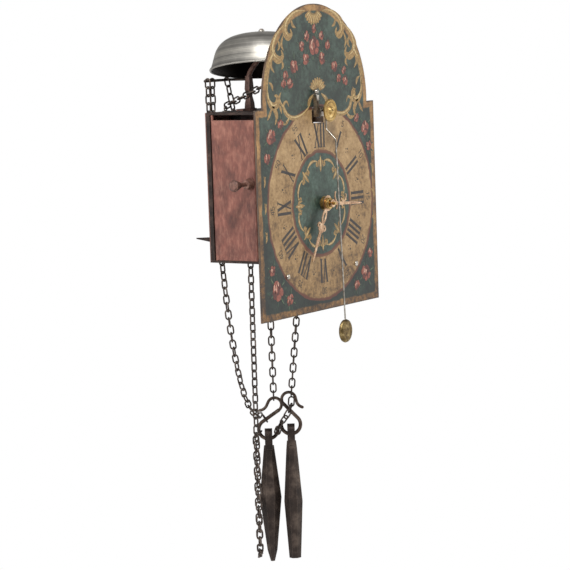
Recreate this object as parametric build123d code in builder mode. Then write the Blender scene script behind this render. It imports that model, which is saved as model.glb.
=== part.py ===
from build123d import *
import os
from math import asinh, atan2, cos, cosh, degrees, hypot, pi, radians, sin, sinh, sqrt

os.makedirs("parts", exist_ok=True)

# A forged-iron wall clock with a painted dial and a pendulum that swings in front of it.
# X runs to the right of the dial, Y runs back to the wall and Z runs up.
# The origin is the middle of the dial's lower edge, on its painted face.

# Dial
dial_width = 250
dial_shoulder = 236
arch_radius = 110
arch_centre = 241.5
dial_thickness = 2
hands_x = 5
hands_z = 123.6
window_left = -10
window_right = 14
window_low = 216
window_high = 235
window_fold = 1.2
window_fold_depth = 15
dial_pin_x = 2
dial_pin_z = 46.5
dial_pin_reach = 73
dial_pin_radius = 1.5
dial_pin_head = 3
bracket_width = 12
bracket_thickness = 2.5
lower_arm_x = 20
upper_arm_x = 28
bracket_arm_width = 10
arm_lap = 12

# Frame
frame_half_width = 58
frame_front = 42
frame_back = 114
frame_bottom = 58
frame_top = 231
plate_thickness = 2.5
post_side = 5
bar_width = 16
bar_thickness = 3
middle_bar_front = 77
middle_bar_thickness = 5
sheet_thickness = 1.2
nail_hole_x = 25
nail_hole_z = 214
nail_hole_radius = 4
spur_x = 52
spur_z = 84
spur_reach = 24
spur_root = 6

# Doors and latches
door_gap = 0.6
door_low_gap = 0.5
door_top_gap = 6
door_rod_radius = 1.5
door_rod_y = 106.5
bead_radius = 1.6
latch_y = 55
latch_z = 150
latch_shank_radius = 2.5
latch_reach = 36
grip_length = 14
tongue_length = 12
tongue_width = 6
tongue_thickness = 2

# Clearances
running = 0.05
seat = 0.02
end_shake = 0.3
pivot_radius = 1.2
pivot_depth = 2.2

# Chains
link_wire = 1.9
link_width = 8.5
link_length = 13.3
link_slack = 0.1
wheel_links = 32
going_chain_y = 66
strike_chain_y = 106
sheave_width = 9
sheave_groove = 3

# Going train
great_z = 118
great_teeth = 96
great_module = 1.08
great_thickness = 2.5
great_back = 75
second_bearing = 18.7
second_pinion_leaves = 8
second_teeth = 60
second_module = 0.8
second_back = 52
contrate_pinion_leaves = 6
contrate_teeth = 40
contrate_radius = 20
contrate_band = 1.4
crown_y = 23.5
crown_pinion_leaves = 6
crown_radius = 11
crown_teeth = 27
crown_tip_z = 222.5
crown_tooth_height = 3.5
wheel_thickness = 2
rim_width = 3
arbor_radius = 1.6
great_arbor_radius = 3

# Escapement and pendulum
verge_z = 230
verge_radius = 1.5
pallet_length = 6.9
pallet_width = 3.5
pallet_thickness = 1
pallet_angle = 48
disc_radius = 13
disc_front = -18
disc_back = -14
wire_radius = 0.9
wire_y = -9.4
wire_front = -21.5
wire_low_y = -27
wire_bend_high = 209
wire_bend_low = 197
bob_z = -23.5
bob_half_width = 12.5
bob_half_height = 13.5
bob_thickness = 6

# Motion work and hands
minute_arbor_radius = 2.5
hour_pipe_radius = 4
motion_distance = 16
cannon_leaves = 10
motion_wheel_teeth = 30
motion_pinion_leaves = 8
hour_wheel_teeth = 32
report_teeth = 20
minute_wheel_teeth = 40
report_back = 37.5
motion_stud_radius = 1.5
hub_radius = 8
hub_front_radius = 6.5
hub_neck_radius = 5.5
hour_hand_y = -8
hour_hand_length = 74
hour_hand_angle = 241
minute_hand_y = -15.3
minute_hand_length = 63
minute_hand_angle = -4
hand_thickness = 1.1
arbor_tip_y = -19

# Strike train
strike_great_teeth = 78
strike_great_module = 1.3
strike_great_back = 98.5
pin_pinion_leaves = 8
pin_wheel_teeth = 54
pin_wheel_module = 0.8
pin_wheel_back = 89
hammer_pins = 8
pin_circle = 15
hoop_pinion_leaves = 6
hoop_wheel_teeth = 48
hoop_wheel_module = 0.7
hoop_wheel_back = 93.5
hoop_x = 0
fly_pinion_leaves = 6
fly_x = -16
fly_radius = 13
count_wheel_radius = 24
count_wheel_back = 85.5
count_notch_depth = 2.5
locking_x = -30
locking_z = 176
hammer_x = 38
hammer_z = 196
hammer_y = 96
hammer_head_x = 68
hammer_head_z = 271
hammer_head_radius = 5.5

# Bell
bell_radius = 61.5
bell_height = 42
bell_wall = 2
bell_x = 0
bell_y = 72
bell_rim_z = 277.5
bell_tilt = 10.5
stand_y = 92
stand_rod_radius = 3
foot_left = -21
foot_right = 7
foot_depth = 10
foot_thickness = 2.5

# Hooks and weights, which hang in planes that turn to the left of the dial's own
hang_turn = 56.3
ring_radius = 11.5
ring_wire = 2.2
bow_radius = 8.3
bow_wire = 1.8
bow_height = 30.8
right_weight_x = 47
right_weight_y = 81
right_ring_z = -147
right_hook_lean = 3
left_weight_x = 37
left_weight_y = 107
left_ring_z = -153
left_hook_lean = 16
eye_hole_radius = 4.5
right_weight_bottom = -309
left_weight_bottom = -314
chain_loop_low = -297

# Worked-out sizes
link_pitch = link_length - 2 * link_wire - link_slack
sheave_pitch_radius = link_pitch / (2 * sin(pi / wheel_links))
plate_low = frame_top - plate_thickness
floor_high = frame_bottom + plate_thickness
inner_half_width = frame_half_width - post_side
second_distance = great_module * (great_teeth + second_pinion_leaves) / 2
second_x = -second_distance * sin(radians(second_bearing))
second_z = great_z + second_distance * cos(radians(second_bearing))
contrate_distance = second_module * (second_teeth + contrate_pinion_leaves) / 2
contrate_z = second_z + sqrt(contrate_distance**2 - (hands_x - second_x) ** 2)
contrate_module = 2 * contrate_radius / contrate_teeth
crown_pinion_radius = contrate_module * crown_pinion_leaves / 2
contrate_tip_y = crown_y + crown_pinion_radius - 0.9 * contrate_module
minute_distance = hypot(hands_x - second_x, second_z - hands_z)
report_module = 2 * minute_distance / (report_teeth + minute_wheel_teeth)
motion_module = 2 * motion_distance / (cannon_leaves + motion_wheel_teeth)
hour_module = 2 * motion_distance / (motion_pinion_leaves + hour_wheel_teeth)
motion_z = hands_z - motion_distance
pin_distance = strike_great_module * (strike_great_teeth + pin_pinion_leaves) / 2
pin_x = pin_distance * sin(radians(second_bearing))
pin_z = great_z + pin_distance * cos(radians(second_bearing))
hoop_distance = pin_wheel_module * (pin_wheel_teeth + hoop_pinion_leaves) / 2
hoop_z = pin_z + sqrt(hoop_distance**2 - (pin_x - hoop_x) ** 2)
fly_distance = hoop_wheel_module * (hoop_wheel_teeth + fly_pinion_leaves) / 2
fly_z = hoop_z + sqrt(fly_distance**2 - (hoop_x - fly_x) ** 2)
middle_bar_back = middle_bar_front + middle_bar_thickness
rear_bar_front = frame_back - bar_thickness
sheet_back = frame_back + sheet_thickness
bell_lean_x = sin(radians(bell_tilt)) * sin(radians(hang_turn))
bell_lean_y = sin(radians(bell_tilt)) * cos(radians(hang_turn))
bell_lean_z = cos(radians(bell_tilt))


def seen_from_front(y):
    """A plane across the arbors at depth y, whose X and Y are the clock's X and Z."""
    return Plane(origin=(0, y, 0), x_dir=(1, 0, 0), z_dir=(0, -1, 0))


def hanging_plane(x, y, z, side, lean=0):
    """A plane that a hook hangs in, leaning in itself; side is 1, or -1 for the mirror image."""
    turn = radians(hang_turn)
    level = side * cos(radians(lean))
    across = (level * cos(turn), -level * sin(turn), sin(radians(lean)))
    toward = (-side * sin(turn), -side * cos(turn), 0)
    return Plane(origin=(x, y, z), x_dir=across, z_dir=toward)


def block(x_low, x_high, y_low, y_high, z_low, z_high, mode=Mode.ADD):
    """A forged block or a cut between two corners."""
    with BuildSketch(Plane.XY.offset(z_low)) as outline:
        with Locations(((x_low + x_high) / 2, (y_low + y_high) / 2)):
            Rectangle(x_high - x_low, y_high - y_low)
    extrude(outline.sketch, amount=z_high - z_low, mode=mode)


def round_bar(x, z, y_front, y_back, radius, mode=Mode.ADD):
    """A round bar or a bore along Y."""
    with BuildSketch(seen_from_front(y_back)) as section:
        with Locations((x, z)):
            Circle(radius)
    extrude(section.sketch, amount=y_back - y_front, mode=mode)


def upright(x, y, z_low, z_high, radius, mode=Mode.ADD):
    """A round bar or a bore along Z."""
    with BuildSketch(Plane.XY.offset(z_low)) as section:
        with Locations((x, y)):
            Circle(radius)
    extrude(section.sketch, amount=z_high - z_low, mode=mode)


def side_bar(y, z, x_low, x_high, radius, mode=Mode.ADD):
    """A round bar or a bore along X."""
    with BuildSketch(Plane.YZ.offset(x_low)) as section:
        with Locations((y, z)):
            Circle(radius)
    extrude(section.sketch, amount=x_high - x_low, mode=mode)


def tooth_outline(x, z, teeth, module, phase, root_share, tip_share):
    """The points of a toothed rim, four to a tooth, with a tooth at the phase angle."""
    pitch = 2 * pi / teeth
    root = module * (teeth / 2 - 1.2)
    tip = module * (teeth / 2 + 0.85)
    points = []
    for tooth in range(teeth):
        middle = phase + tooth * pitch
        corners = ((-root_share, root), (-tip_share, tip), (tip_share, tip), (root_share, root))
        for share, radius in corners:
            angle = middle + share * pitch / 2
            points.append((x + radius * cos(angle), z + radius * sin(angle)))
    return points


def toothed_wheel(x, z, y_back, thickness, teeth, module, phase, hub=6, spokes=4):
    """A crossed-out wheel with thin teeth, seen from the front."""
    inner = module * (teeth / 2 - 1.2) - rim_width
    with BuildSketch(seen_from_front(y_back)) as blank:
        with BuildLine():
            Polyline(*tooth_outline(x, z, teeth, module, phase, 0.52, 0.18), close=True)
        make_face()
        with Locations((x, z)):
            Circle(inner, mode=Mode.SUBTRACT)
            Circle(hub)
        for spoke in range(spokes):
            turn = spoke * 360 / spokes + 45
            middle = inner / 2 + 0.5
            with Locations((x + middle * cos(radians(turn)), z + middle * sin(radians(turn)))):
                Rectangle(inner + 1, rim_width, rotation=turn)
    extrude(blank.sketch, amount=thickness)


def pinion(x, z, y_front, y_back, leaves, module, phase):
    """A pinion of narrow leaves on an arbor along Y."""
    with BuildSketch(seen_from_front(y_back)) as blank:
        with BuildLine():
            Polyline(*tooth_outline(x, z, leaves, module, phase, 0.42, 0.14), close=True)
        make_face()
    extrude(blank.sketch, amount=y_back - y_front)


def arbor(x, z, y_front, y_back, radius, front_pivot_y, back_pivot_y):
    """An arbor along Y with a thinner pivot at each end."""
    round_bar(x, z, y_front, y_back, radius)
    round_bar(x, z, front_pivot_y, y_front, pivot_radius)
    round_bar(x, z, y_back, back_pivot_y, pivot_radius)


def bearing_from(x, z, to_x, to_z):
    """The angle at which one arbor sees another."""
    return atan2(to_z - z, to_x - x)


def across_from(angle, teeth):
    """The phase that sets a gap of the follower towards a tooth at the given angle."""
    return angle + pi + pi / teeth


# Phases that bring the wheels into mesh at rest
second_view = bearing_from(0, great_z, second_x, second_z)
contrate_view = bearing_from(second_x, second_z, hands_x, contrate_z)
minute_view = bearing_from(second_x, second_z, hands_x, hands_z)
motion_view = -pi / 2
pin_view = bearing_from(0, great_z, pin_x, pin_z)
hoop_view = bearing_from(pin_x, pin_z, hoop_x, hoop_z)
fly_view = bearing_from(hoop_x, hoop_z, fly_x, fly_z)


# Frame: two plates, four posts and three upright bars
with BuildPart() as top_plate:
    block(-frame_half_width, frame_half_width, frame_front, frame_back, plate_low, frame_top)
    block(1 - running, 9 + running, frame_front, frame_front + bar_thickness + running,
          plate_low, frame_top, Mode.SUBTRACT)
    block(44, frame_half_width, hammer_y - 3.5, hammer_y + 3.5, plate_low, frame_top, Mode.SUBTRACT)
    for side in (-1, 1):
        upright(side * (frame_half_width - 1.7), door_rod_y, plate_low, frame_top,
                door_rod_radius + running, Mode.SUBTRACT)
top_plate.part.label = "top_plate"
export_step(top_plate.part, "parts/top_plate.step")

with BuildPart() as bottom_plate:
    block(-frame_half_width, frame_half_width, frame_front, frame_back, frame_bottom, floor_high)
    for slot_x, slot_y in ((-48, going_chain_y + 1), (49.5, 60), (-48, strike_chain_y), (48, strike_chain_y)):
        block(slot_x - 7, slot_x + 6, slot_y - 7, min(slot_y + 8, frame_back - 2),
              frame_bottom, floor_high, Mode.SUBTRACT)
    for side in (-1, 1):
        upright(side * (frame_half_width - 1.7), door_rod_y, frame_bottom, floor_high,
                door_rod_radius + running, Mode.SUBTRACT)
bottom_plate.part.label = "bottom_plate"
export_step(bottom_plate.part, "parts/bottom_plate.step")

with BuildPart() as corner_posts:
    for side in (-1, 1):
        for post_front in (frame_front, frame_back - post_side):
            middle = side * (frame_half_width - post_side / 2)
            block(middle - post_side / 2, middle + post_side / 2, post_front, post_front + post_side,
                  floor_high, plate_low)
corner_posts.part.label = "corner_posts"
export_step(corner_posts.part, "parts/corner_posts.step")

with BuildPart() as front_bar:
    block(hands_x - 11, hands_x + 5, frame_front, frame_front + bar_thickness, floor_high, plate_low)
    block(1, 9, frame_front, frame_front + bar_thickness, plate_low, verge_z + 6)
    block(second_x - 5, 0, frame_front, frame_front + bar_thickness, second_z - 6, second_z + 6)
    block(0, 37, frame_front, frame_front + bar_thickness, 188, 198)
    round_bar(0, great_z, frame_front, frame_front + bar_thickness, pivot_radius + running, Mode.SUBTRACT)
    round_bar(hands_x, hands_z, frame_front, frame_front + bar_thickness,
              pivot_radius + running, Mode.SUBTRACT)
    round_bar(hands_x, verge_z, frame_front, frame_front + bar_thickness,
              pivot_radius + running, Mode.SUBTRACT)
    for through_x, through_z in ((second_x, second_z), (hands_x, contrate_z)):
        round_bar(through_x, through_z, frame_front, frame_front + bar_thickness,
                  arbor_radius + running, Mode.SUBTRACT)
front_bar.part.label = "front_bar"
export_step(front_bar.part, "parts/front_bar.step")

with BuildPart() as middle_bar:
    block(-bar_width / 2, bar_width / 2, middle_bar_front, middle_bar_back, floor_high, plate_low)
    block(locking_x - 5, 0, middle_bar_front, middle_bar_back, 165, 182)
    block(fly_x - 5, 0, middle_bar_front, middle_bar_back, 191, 202)
    block(0, pin_x + 5, middle_bar_front, middle_bar_back, 165, 177)
    block(0, hammer_x + 5, middle_bar_front, middle_bar_back, 191, 201)
    for hole_x, hole_z in ((0, great_z), (second_x, second_z), (hands_x, contrate_z)):
        round_bar(hole_x, hole_z, middle_bar_front, middle_bar_front + pivot_depth,
                  pivot_radius + running, Mode.SUBTRACT)
    for hole_x, hole_z in ((0, great_z), (pin_x, pin_z), (hoop_x, hoop_z), (fly_x, fly_z),
                           (locking_x, locking_z), (hammer_x, hammer_z)):
        round_bar(hole_x, hole_z, middle_bar_back - pivot_depth, middle_bar_back,
                  pivot_radius + running, Mode.SUBTRACT)
middle_bar.part.label = "middle_bar"
export_step(middle_bar.part, "parts/middle_bar.step")

with BuildPart() as rear_bar:
    block(-bar_width / 2, bar_width / 2, rear_bar_front, frame_back, floor_high, plate_low)
    block(locking_x - 5, 0, rear_bar_front, frame_back, 165, 182)
    block(fly_x - 5, 0, rear_bar_front, frame_back, 191, 202)
    block(0, pin_x + 5, rear_bar_front, frame_back, 165, 177)
    block(0, hammer_x + 5, rear_bar_front, frame_back, 191, 201)
    for hole_x, hole_z in ((0, great_z), (pin_x, pin_z), (hoop_x, hoop_z), (fly_x, fly_z),
                           (locking_x, locking_z), (hammer_x, hammer_z)):
        round_bar(hole_x, hole_z, rear_bar_front, rear_bar_front + pivot_depth,
                  pivot_radius + running, Mode.SUBTRACT)
rear_bar.part.label = "rear_bar"
export_step(rear_bar.part, "parts/rear_bar.step")

with BuildPart() as back_sheet:
    block(-frame_half_width, frame_half_width, frame_back, sheet_back, frame_bottom, frame_top)
    for side in (-1, 1):
        round_bar(side * nail_hole_x, nail_hole_z, frame_back, sheet_back, nail_hole_radius, Mode.SUBTRACT)
back_sheet.part.label = "back_sheet"
export_step(back_sheet.part, "parts/back_sheet.step")

with BuildPart() as wall_spurs:
    for side in (-1, 1):
        with BuildSketch(seen_from_front(sheet_back).offset(-1)) as root:
            with Locations((side * spur_x, spur_z)):
                Rectangle(spur_root + 3, spur_root + 5)
        extrude(root.sketch, amount=1)
        with BuildSketch(seen_from_front(sheet_back + 1)) as thick_end:
            with Locations((side * spur_x, spur_z)):
                Circle(spur_root / 2)
        with BuildSketch(seen_from_front(frame_back + spur_reach)) as point:
            with Locations((side * spur_x, spur_z + 1)):
                Circle(0.7)
        loft([thick_end.sketch, point.sketch])
wall_spurs.part.label = "wall_spurs"
export_step(wall_spurs.part, "parts/wall_spurs.step")

# Dial and its brackets
with BuildPart() as dial_plate:
    spring_x = sqrt(arch_radius**2 - (arch_centre - dial_shoulder) ** 2)
    with BuildSketch(seen_from_front(dial_thickness)) as sheet:
        with BuildLine():
            Polyline((-spring_x, dial_shoulder), (-dial_width / 2, dial_shoulder), (-dial_width / 2, 0),
                     (dial_width / 2, 0), (dial_width / 2, dial_shoulder), (spring_x, dial_shoulder))
            ThreePointArc((spring_x, dial_shoulder), (0, arch_centre + arch_radius),
                          (-spring_x, dial_shoulder))
        make_face()
        with Locations((hands_x, hands_z)):
            Circle(hour_pipe_radius + running, mode=Mode.SUBTRACT)
        with Locations(((window_left + window_right) / 2, (window_low + window_high) / 2)):
            Rectangle(window_right - window_left, window_high - window_low, mode=Mode.SUBTRACT)
        for side in (-1, 1):
            with Locations((dial_pin_x + side * dial_pin_reach, dial_pin_z)):
                Circle(dial_pin_radius + seat, mode=Mode.SUBTRACT)
    extrude(sheet.sketch, amount=dial_thickness)
    block(window_right, window_right + window_fold, 1, window_fold_depth, window_low, window_high)
dial_plate.part.label = "dial_plate"
export_step(dial_plate.part, "parts/dial_plate.step")

bracket_back = dial_thickness + bracket_thickness
with BuildPart() as dial_pins:
    for side in (-1, 1):
        pin_at = dial_pin_x + side * dial_pin_reach
        round_bar(pin_at, dial_pin_z, 0, bracket_back, dial_pin_radius)
        round_bar(pin_at, dial_pin_z, -1, 0, dial_pin_head)
        with BuildSketch(seen_from_front(-1)) as head:
            with Locations((pin_at, dial_pin_z)):
                Circle(dial_pin_head)
        extrude(head.sketch, amount=0.9, taper=35)
dial_pins.part.label = "dial_pins"
export_step(dial_pins.part, "parts/dial_pins.step")

with BuildPart() as lower_dial_bracket:
    bar_low = dial_pin_z - bracket_width / 2
    bar_high = dial_pin_z + bracket_width / 2
    block(dial_pin_x - dial_pin_reach - 7, dial_pin_x + dial_pin_reach + 7, dial_thickness, bracket_back,
          bar_low, bar_high)
    for side in (-1, 1):
        near = side * lower_arm_x - bracket_arm_width / 2
        block(near, near + bracket_arm_width, dial_thickness, bracket_back, bar_low, frame_bottom)
        block(near, near + bracket_arm_width, dial_thickness, frame_front + arm_lap,
              frame_bottom - bracket_thickness, frame_bottom)
        round_bar(dial_pin_x + side * dial_pin_reach, dial_pin_z, dial_thickness, bracket_back,
                  dial_pin_radius + seat, Mode.SUBTRACT)
lower_dial_bracket.part.label = "lower_dial_bracket"
export_step(lower_dial_bracket.part, "parts/lower_dial_bracket.step")

with BuildPart() as upper_dial_bracket:
    block(-upper_arm_x - 5, upper_arm_x + 5, dial_thickness, bracket_back, dial_shoulder + 0.5,
          dial_shoulder + 0.5 + bracket_width)
    for side in (-1, 1):
        near = side * upper_arm_x - bracket_arm_width / 2
        block(near, near + bracket_arm_width, dial_thickness, bracket_back, frame_top, dial_shoulder + 1)
        block(near, near + bracket_arm_width, dial_thickness, frame_front + arm_lap,
              frame_top, frame_top + bracket_thickness)
upper_dial_bracket.part.label = "upper_dial_bracket"
export_step(upper_dial_bracket.part, "parts/upper_dial_bracket.step")


# Side doors, each a panel turned round a rod and beaded along its free edge
def door(side):
    """A side door; side is -1 on the left and 1 on the right."""
    outer = side * frame_half_width
    inner = side * (frame_half_width - sheet_thickness)
    rod_x = side * (frame_half_width - 1.7)
    edge_y = frame_front + post_side + door_gap + bead_radius
    low = floor_high + door_low_gap
    block(min(outer, inner), max(outer, inner), edge_y, door_rod_y, low, plate_low - door_top_gap)
    upright(rod_x, door_rod_y, low, plate_low - door_top_gap, door_rod_radius)
    upright(rod_x, door_rod_y, frame_bottom, frame_top, door_rod_radius)
    upright(side * (frame_half_width - 0.2), edge_y, low, plate_low - door_top_gap, bead_radius)
    side_bar(latch_y, latch_z, min(outer, inner) - 1, max(outer, inner) + 1,
             latch_shank_radius + running, Mode.SUBTRACT)


with BuildPart() as left_door:
    door(-1)
left_door.part.label = "left_door"
export_step(left_door.part, "parts/left_door.step")

with BuildPart() as right_door:
    door(1)
right_door.part.label = "right_door"
export_step(right_door.part, "parts/right_door.step")


def latch_section(side, reach, radius):
    """A round section of the latch at a distance outside the door."""
    with BuildSketch(Plane.YZ.offset(side * (frame_half_width + reach))) as section:
        with Locations((latch_y, latch_z)):
            Circle(radius)
    return section.sketch


def latch(side):
    """A turn latch: a tongue inside the door, a shank through it, a boss and a ribbed flared grip."""
    tongue_x = side * (inner_half_width - 0.5 - tongue_thickness / 2)
    grip_start = latch_reach - grip_length
    shank = sorted((tongue_x, side * (frame_half_width + grip_start + 1)))
    side_bar(latch_y, latch_z, shank[0], shank[1], latch_shank_radius)
    block(tongue_x - tongue_thickness / 2, tongue_x + tongue_thickness / 2, latch_y - tongue_width / 2,
          latch_y + tongue_width / 2, latch_z - 4, latch_z + tongue_length)
    loft([latch_section(side, 0.1, 3.8), latch_section(side, 1.8, 3.8)])
    loft([latch_section(side, 1.8, 7), latch_section(side, 10, 5)])
    loft([latch_section(side, grip_start, 3), latch_section(side, latch_reach - 2, 6.2)])
    loft([latch_section(side, latch_reach - 2, 6.2), latch_section(side, latch_reach, 4.6)])
    for rib in range(4):
        reach = grip_start + 2 + rib * 2.8
        low, high = sorted((side * (frame_half_width + reach), side * (frame_half_width + reach + 1.1)))
        side_bar(latch_y, latch_z, low, high, 4.1 + rib * 0.85)


with BuildPart() as left_latch:
    latch(-1)
left_latch.part.label = "left_latch"
export_step(left_latch.part, "parts/left_latch.step")

with BuildPart() as right_latch:
    latch(1)
right_latch.part.label = "right_latch"
export_step(right_latch.part, "parts/right_latch.step")

# Cocks that carry the verge and the crown wheel
with BuildPart() as front_cock:
    block(-9, 9, -7.5, frame_front + 18, frame_top, frame_top + bracket_thickness)
    block(1 - running, 9 + running, frame_front - running, frame_front + bar_thickness + running,
          frame_top, frame_top + bracket_thickness, Mode.SUBTRACT)
    round_bar(hands_x, verge_z, -8, frame_front + 20, verge_radius + 0.4, Mode.SUBTRACT)
    block(-8, 9, -5, -1.5, verge_z - 6.5, frame_top + 1)
    round_bar(hands_x, verge_z, -6, 0, verge_radius + running, Mode.SUBTRACT)
front_cock.part.label = "front_cock"
export_step(front_cock.part, "parts/front_cock.step")

finial_x = -6
finial_y = -4
finial_low = frame_top + bracket_thickness
with BuildPart() as cock_finial:
    block(finial_x - 2.3, finial_x + 2.3, finial_y - 2.3, finial_y + 2.3, finial_low, finial_low + 14.5)
    upright(finial_x, finial_y, finial_low + 14, finial_low + 17, 1.3)
    with Locations((finial_x, finial_y, finial_low + 18.5)):
        Sphere(3.1)
cock_finial.part.label = "cock_finial"
export_step(cock_finial.part, "parts/cock_finial.step")

with BuildPart() as crown_foot_bracket:
    block(hands_x - 3, 36, crown_y - 2.5, crown_y + 1.5, 190, 194)
    block(32, 36, crown_y - 2.5, frame_front, 190, 194)
    upright(hands_x, crown_y, 191, 194.1, pivot_radius + running, Mode.SUBTRACT)
crown_foot_bracket.part.label = "crown_foot_bracket"
export_step(crown_foot_bracket.part, "parts/crown_foot_bracket.step")

with BuildPart() as crown_top_cock:
    block(hands_x - 3.5, 20, crown_y - 3.5, crown_y + 3.5, crown_tip_z + 1.3, crown_tip_z + 3.8)
    block(16, 20, crown_y - 3.5, crown_y + 3.5, crown_tip_z + 1.3, frame_top + bracket_thickness)
    block(14, 20, crown_y - 3.5, frame_front + 14, frame_top, frame_top + bracket_thickness)
    upright(hands_x, crown_y, crown_tip_z + 1, crown_tip_z + 3.4, pivot_radius + running, Mode.SUBTRACT)
crown_top_cock.part.label = "crown_top_cock"
export_step(crown_top_cock.part, "parts/crown_top_cock.step")

with BuildPart() as motion_stud:
    round_bar(hands_x, motion_z, dial_thickness, dial_thickness + 1.5, 5)
    round_bar(hands_x, motion_z, dial_thickness, 7.7, 2.6)
    round_bar(hands_x, motion_z, dial_thickness, 23.4, motion_stud_radius)
    round_bar(hands_x, motion_z, 22.4, 23.4, 2.4)
motion_stud.part.label = "motion_stud"
export_step(motion_stud.part, "parts/motion_stud.step")


# Trains: going train in front of the middle bar, strike train behind it
def bar_to_bar(x, z, front_face, back_face, radius):
    """An arbor between two bars, with pivots that run into both."""
    arbor(x, z, front_face + end_shake, back_face - end_shake, radius,
          front_face - pivot_depth + end_shake, back_face + pivot_depth - end_shake)


def sheave(z, y, bore):
    """A chain wheel: two flanges that carry the flat links and a groove for the links on edge."""
    flange = sheave_pitch_radius - link_wire / 2 - 0.3
    core = sheave_pitch_radius - link_width / 2 - 0.4
    with BuildSketch(seen_from_front(y + sheave_width / 2)) as side_view:
        with Locations((0, z)):
            Circle(core)
            Circle(bore, mode=Mode.SUBTRACT)
            with PolarLocations(core * 0.6, 6):
                Circle(core * 0.22, mode=Mode.SUBTRACT)
    extrude(side_view.sketch, amount=sheave_width)
    with BuildSketch(seen_from_front(y + sheave_width / 2)) as rim:
        with Locations((0, z)):
            Circle(flange)
            Circle(core - 3, mode=Mode.SUBTRACT)
    extrude(rim.sketch, amount=sheave_width)
    with BuildSketch(seen_from_front(y + sheave_groove / 2)) as groove:
        with Locations((0, z)):
            Circle(flange + 1)
            Circle(core, mode=Mode.SUBTRACT)
    extrude(groove.sketch, amount=sheave_groove, mode=Mode.SUBTRACT)


with BuildPart() as going_great_wheel:
    toothed_wheel(0, great_z, great_back, great_thickness, great_teeth, great_module, second_view, hub=9)
    bar_to_bar(0, great_z, frame_front + bar_thickness, middle_bar_front, great_arbor_radius)
going_great_wheel.part.label = "going_great_wheel"
export_step(going_great_wheel.part, "parts/going_great_wheel.step")

with BuildPart() as going_chain_wheel:
    sheave(great_z, going_chain_y, great_arbor_radius + seat)
going_chain_wheel.part.label = "going_chain_wheel"
export_step(going_chain_wheel.part, "parts/going_chain_wheel.step")

with BuildPart() as second_wheel:
    pinion(second_x, second_z, great_back - great_thickness - 1, great_back + 1, second_pinion_leaves,
           great_module, across_from(second_view, second_pinion_leaves))
    toothed_wheel(second_x, second_z, second_back, wheel_thickness, second_teeth, second_module,
                  contrate_view, hub=4)
    pinion(second_x, second_z, report_back - wheel_thickness - 0.5, report_back + 0.5, report_teeth,
           report_module, minute_view)
    round_bar(second_x, second_z, 34, middle_bar_front - end_shake, arbor_radius)
    round_bar(second_x, second_z, middle_bar_front - end_shake,
              middle_bar_front + pivot_depth - end_shake, pivot_radius)
second_wheel.part.label = "second_wheel"
export_step(second_wheel.part, "parts/second_wheel.step")

with BuildPart() as contrate_wheel:
    rim_back = contrate_tip_y + 6.5
    with BuildSketch(seen_from_front(rim_back)) as disc:
        with Locations((hands_x, contrate_z)):
            Circle(contrate_radius + contrate_band / 2)
            Circle(contrate_radius - 3, mode=Mode.SUBTRACT)
            Circle(4.5)
            Rectangle(2 * contrate_radius - 3, rim_width)
            Rectangle(rim_width, 2 * contrate_radius - 3)
    extrude(disc.sketch, amount=wheel_thickness)
    with BuildSketch(seen_from_front(rim_back)) as band:
        with Locations((hands_x, contrate_z)):
            Circle(contrate_radius + contrate_band / 2)
            Circle(contrate_radius - contrate_band / 2, mode=Mode.SUBTRACT)
    extrude(band.sketch, amount=6.5)
    with BuildSketch(seen_from_front(contrate_tip_y + 2.4)) as gaps:
        with Locations((hands_x, contrate_z)):
            with PolarLocations(contrate_radius, contrate_teeth, start_angle=90):
                Rectangle(3 * contrate_band, contrate_module * pi * 0.6)
    extrude(gaps.sketch, amount=2.5, mode=Mode.SUBTRACT)
    pinion(hands_x, contrate_z, second_back - wheel_thickness - 1.5, second_back + 1.5,
           contrate_pinion_leaves, second_module, across_from(contrate_view, contrate_pinion_leaves))
    round_bar(hands_x, contrate_z, rim_back - wheel_thickness - 1, middle_bar_front - end_shake, arbor_radius)
    round_bar(hands_x, contrate_z, middle_bar_front - end_shake,
              middle_bar_front + pivot_depth - end_shake, pivot_radius)
contrate_wheel.part.label = "contrate_wheel"
export_step(contrate_wheel.part, "parts/contrate_wheel.step")

crown_base_z = crown_tip_z - crown_tooth_height - 4
with BuildPart() as crown_wheel:
    with BuildSketch(Plane.XY.offset(crown_base_z)) as floor:
        with Locations((hands_x, crown_y)):
            Circle(crown_radius)
    extrude(floor.sketch, amount=1.2)
    with BuildSketch(Plane.XY.offset(crown_base_z)) as wall:
        with Locations((hands_x, crown_y)):
            Circle(crown_radius)
            Circle(crown_radius - 1.2, mode=Mode.SUBTRACT)
    extrude(wall.sketch, amount=crown_tip_z - crown_base_z)
    tooth_pitch = 2 * pi * crown_radius / crown_teeth
    for tooth in range(crown_teeth):
        turn = 2 * pi * tooth / crown_teeth
        outward = Vector(cos(turn), sin(turn), 0)
        edge = Vector(hands_x, crown_y, crown_tip_z) + outward * (crown_radius + 1)
        with BuildSketch(Plane(origin=edge, x_dir=(-sin(turn), cos(turn), 0), z_dir=outward)) as notch:
            with BuildLine():
                Polyline((-tooth_pitch / 2 + 0.35, 0.5), (tooth_pitch / 2, 0.5),
                         (-tooth_pitch / 2 + 0.35, -crown_tooth_height), close=True)
            make_face()
        extrude(notch.sketch, amount=-3.5, mode=Mode.SUBTRACT)
    with BuildSketch(Plane.XY.offset(contrate_z + contrate_radius - 5)) as leaves:
        with BuildLine():
            Polyline(*tooth_outline(hands_x, crown_y, crown_pinion_leaves, contrate_module, pi / 2,
                                    0.42, 0.14), close=True)
        make_face()
    extrude(leaves.sketch, amount=10)
    upright(hands_x, crown_y, 194 + end_shake, crown_tip_z + 1, arbor_radius)
    upright(hands_x, crown_y, 191 + end_shake, crown_tip_z + 3.1, pivot_radius)
crown_wheel.part.label = "crown_wheel"
export_step(crown_wheel.part, "parts/crown_wheel.step")

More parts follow.
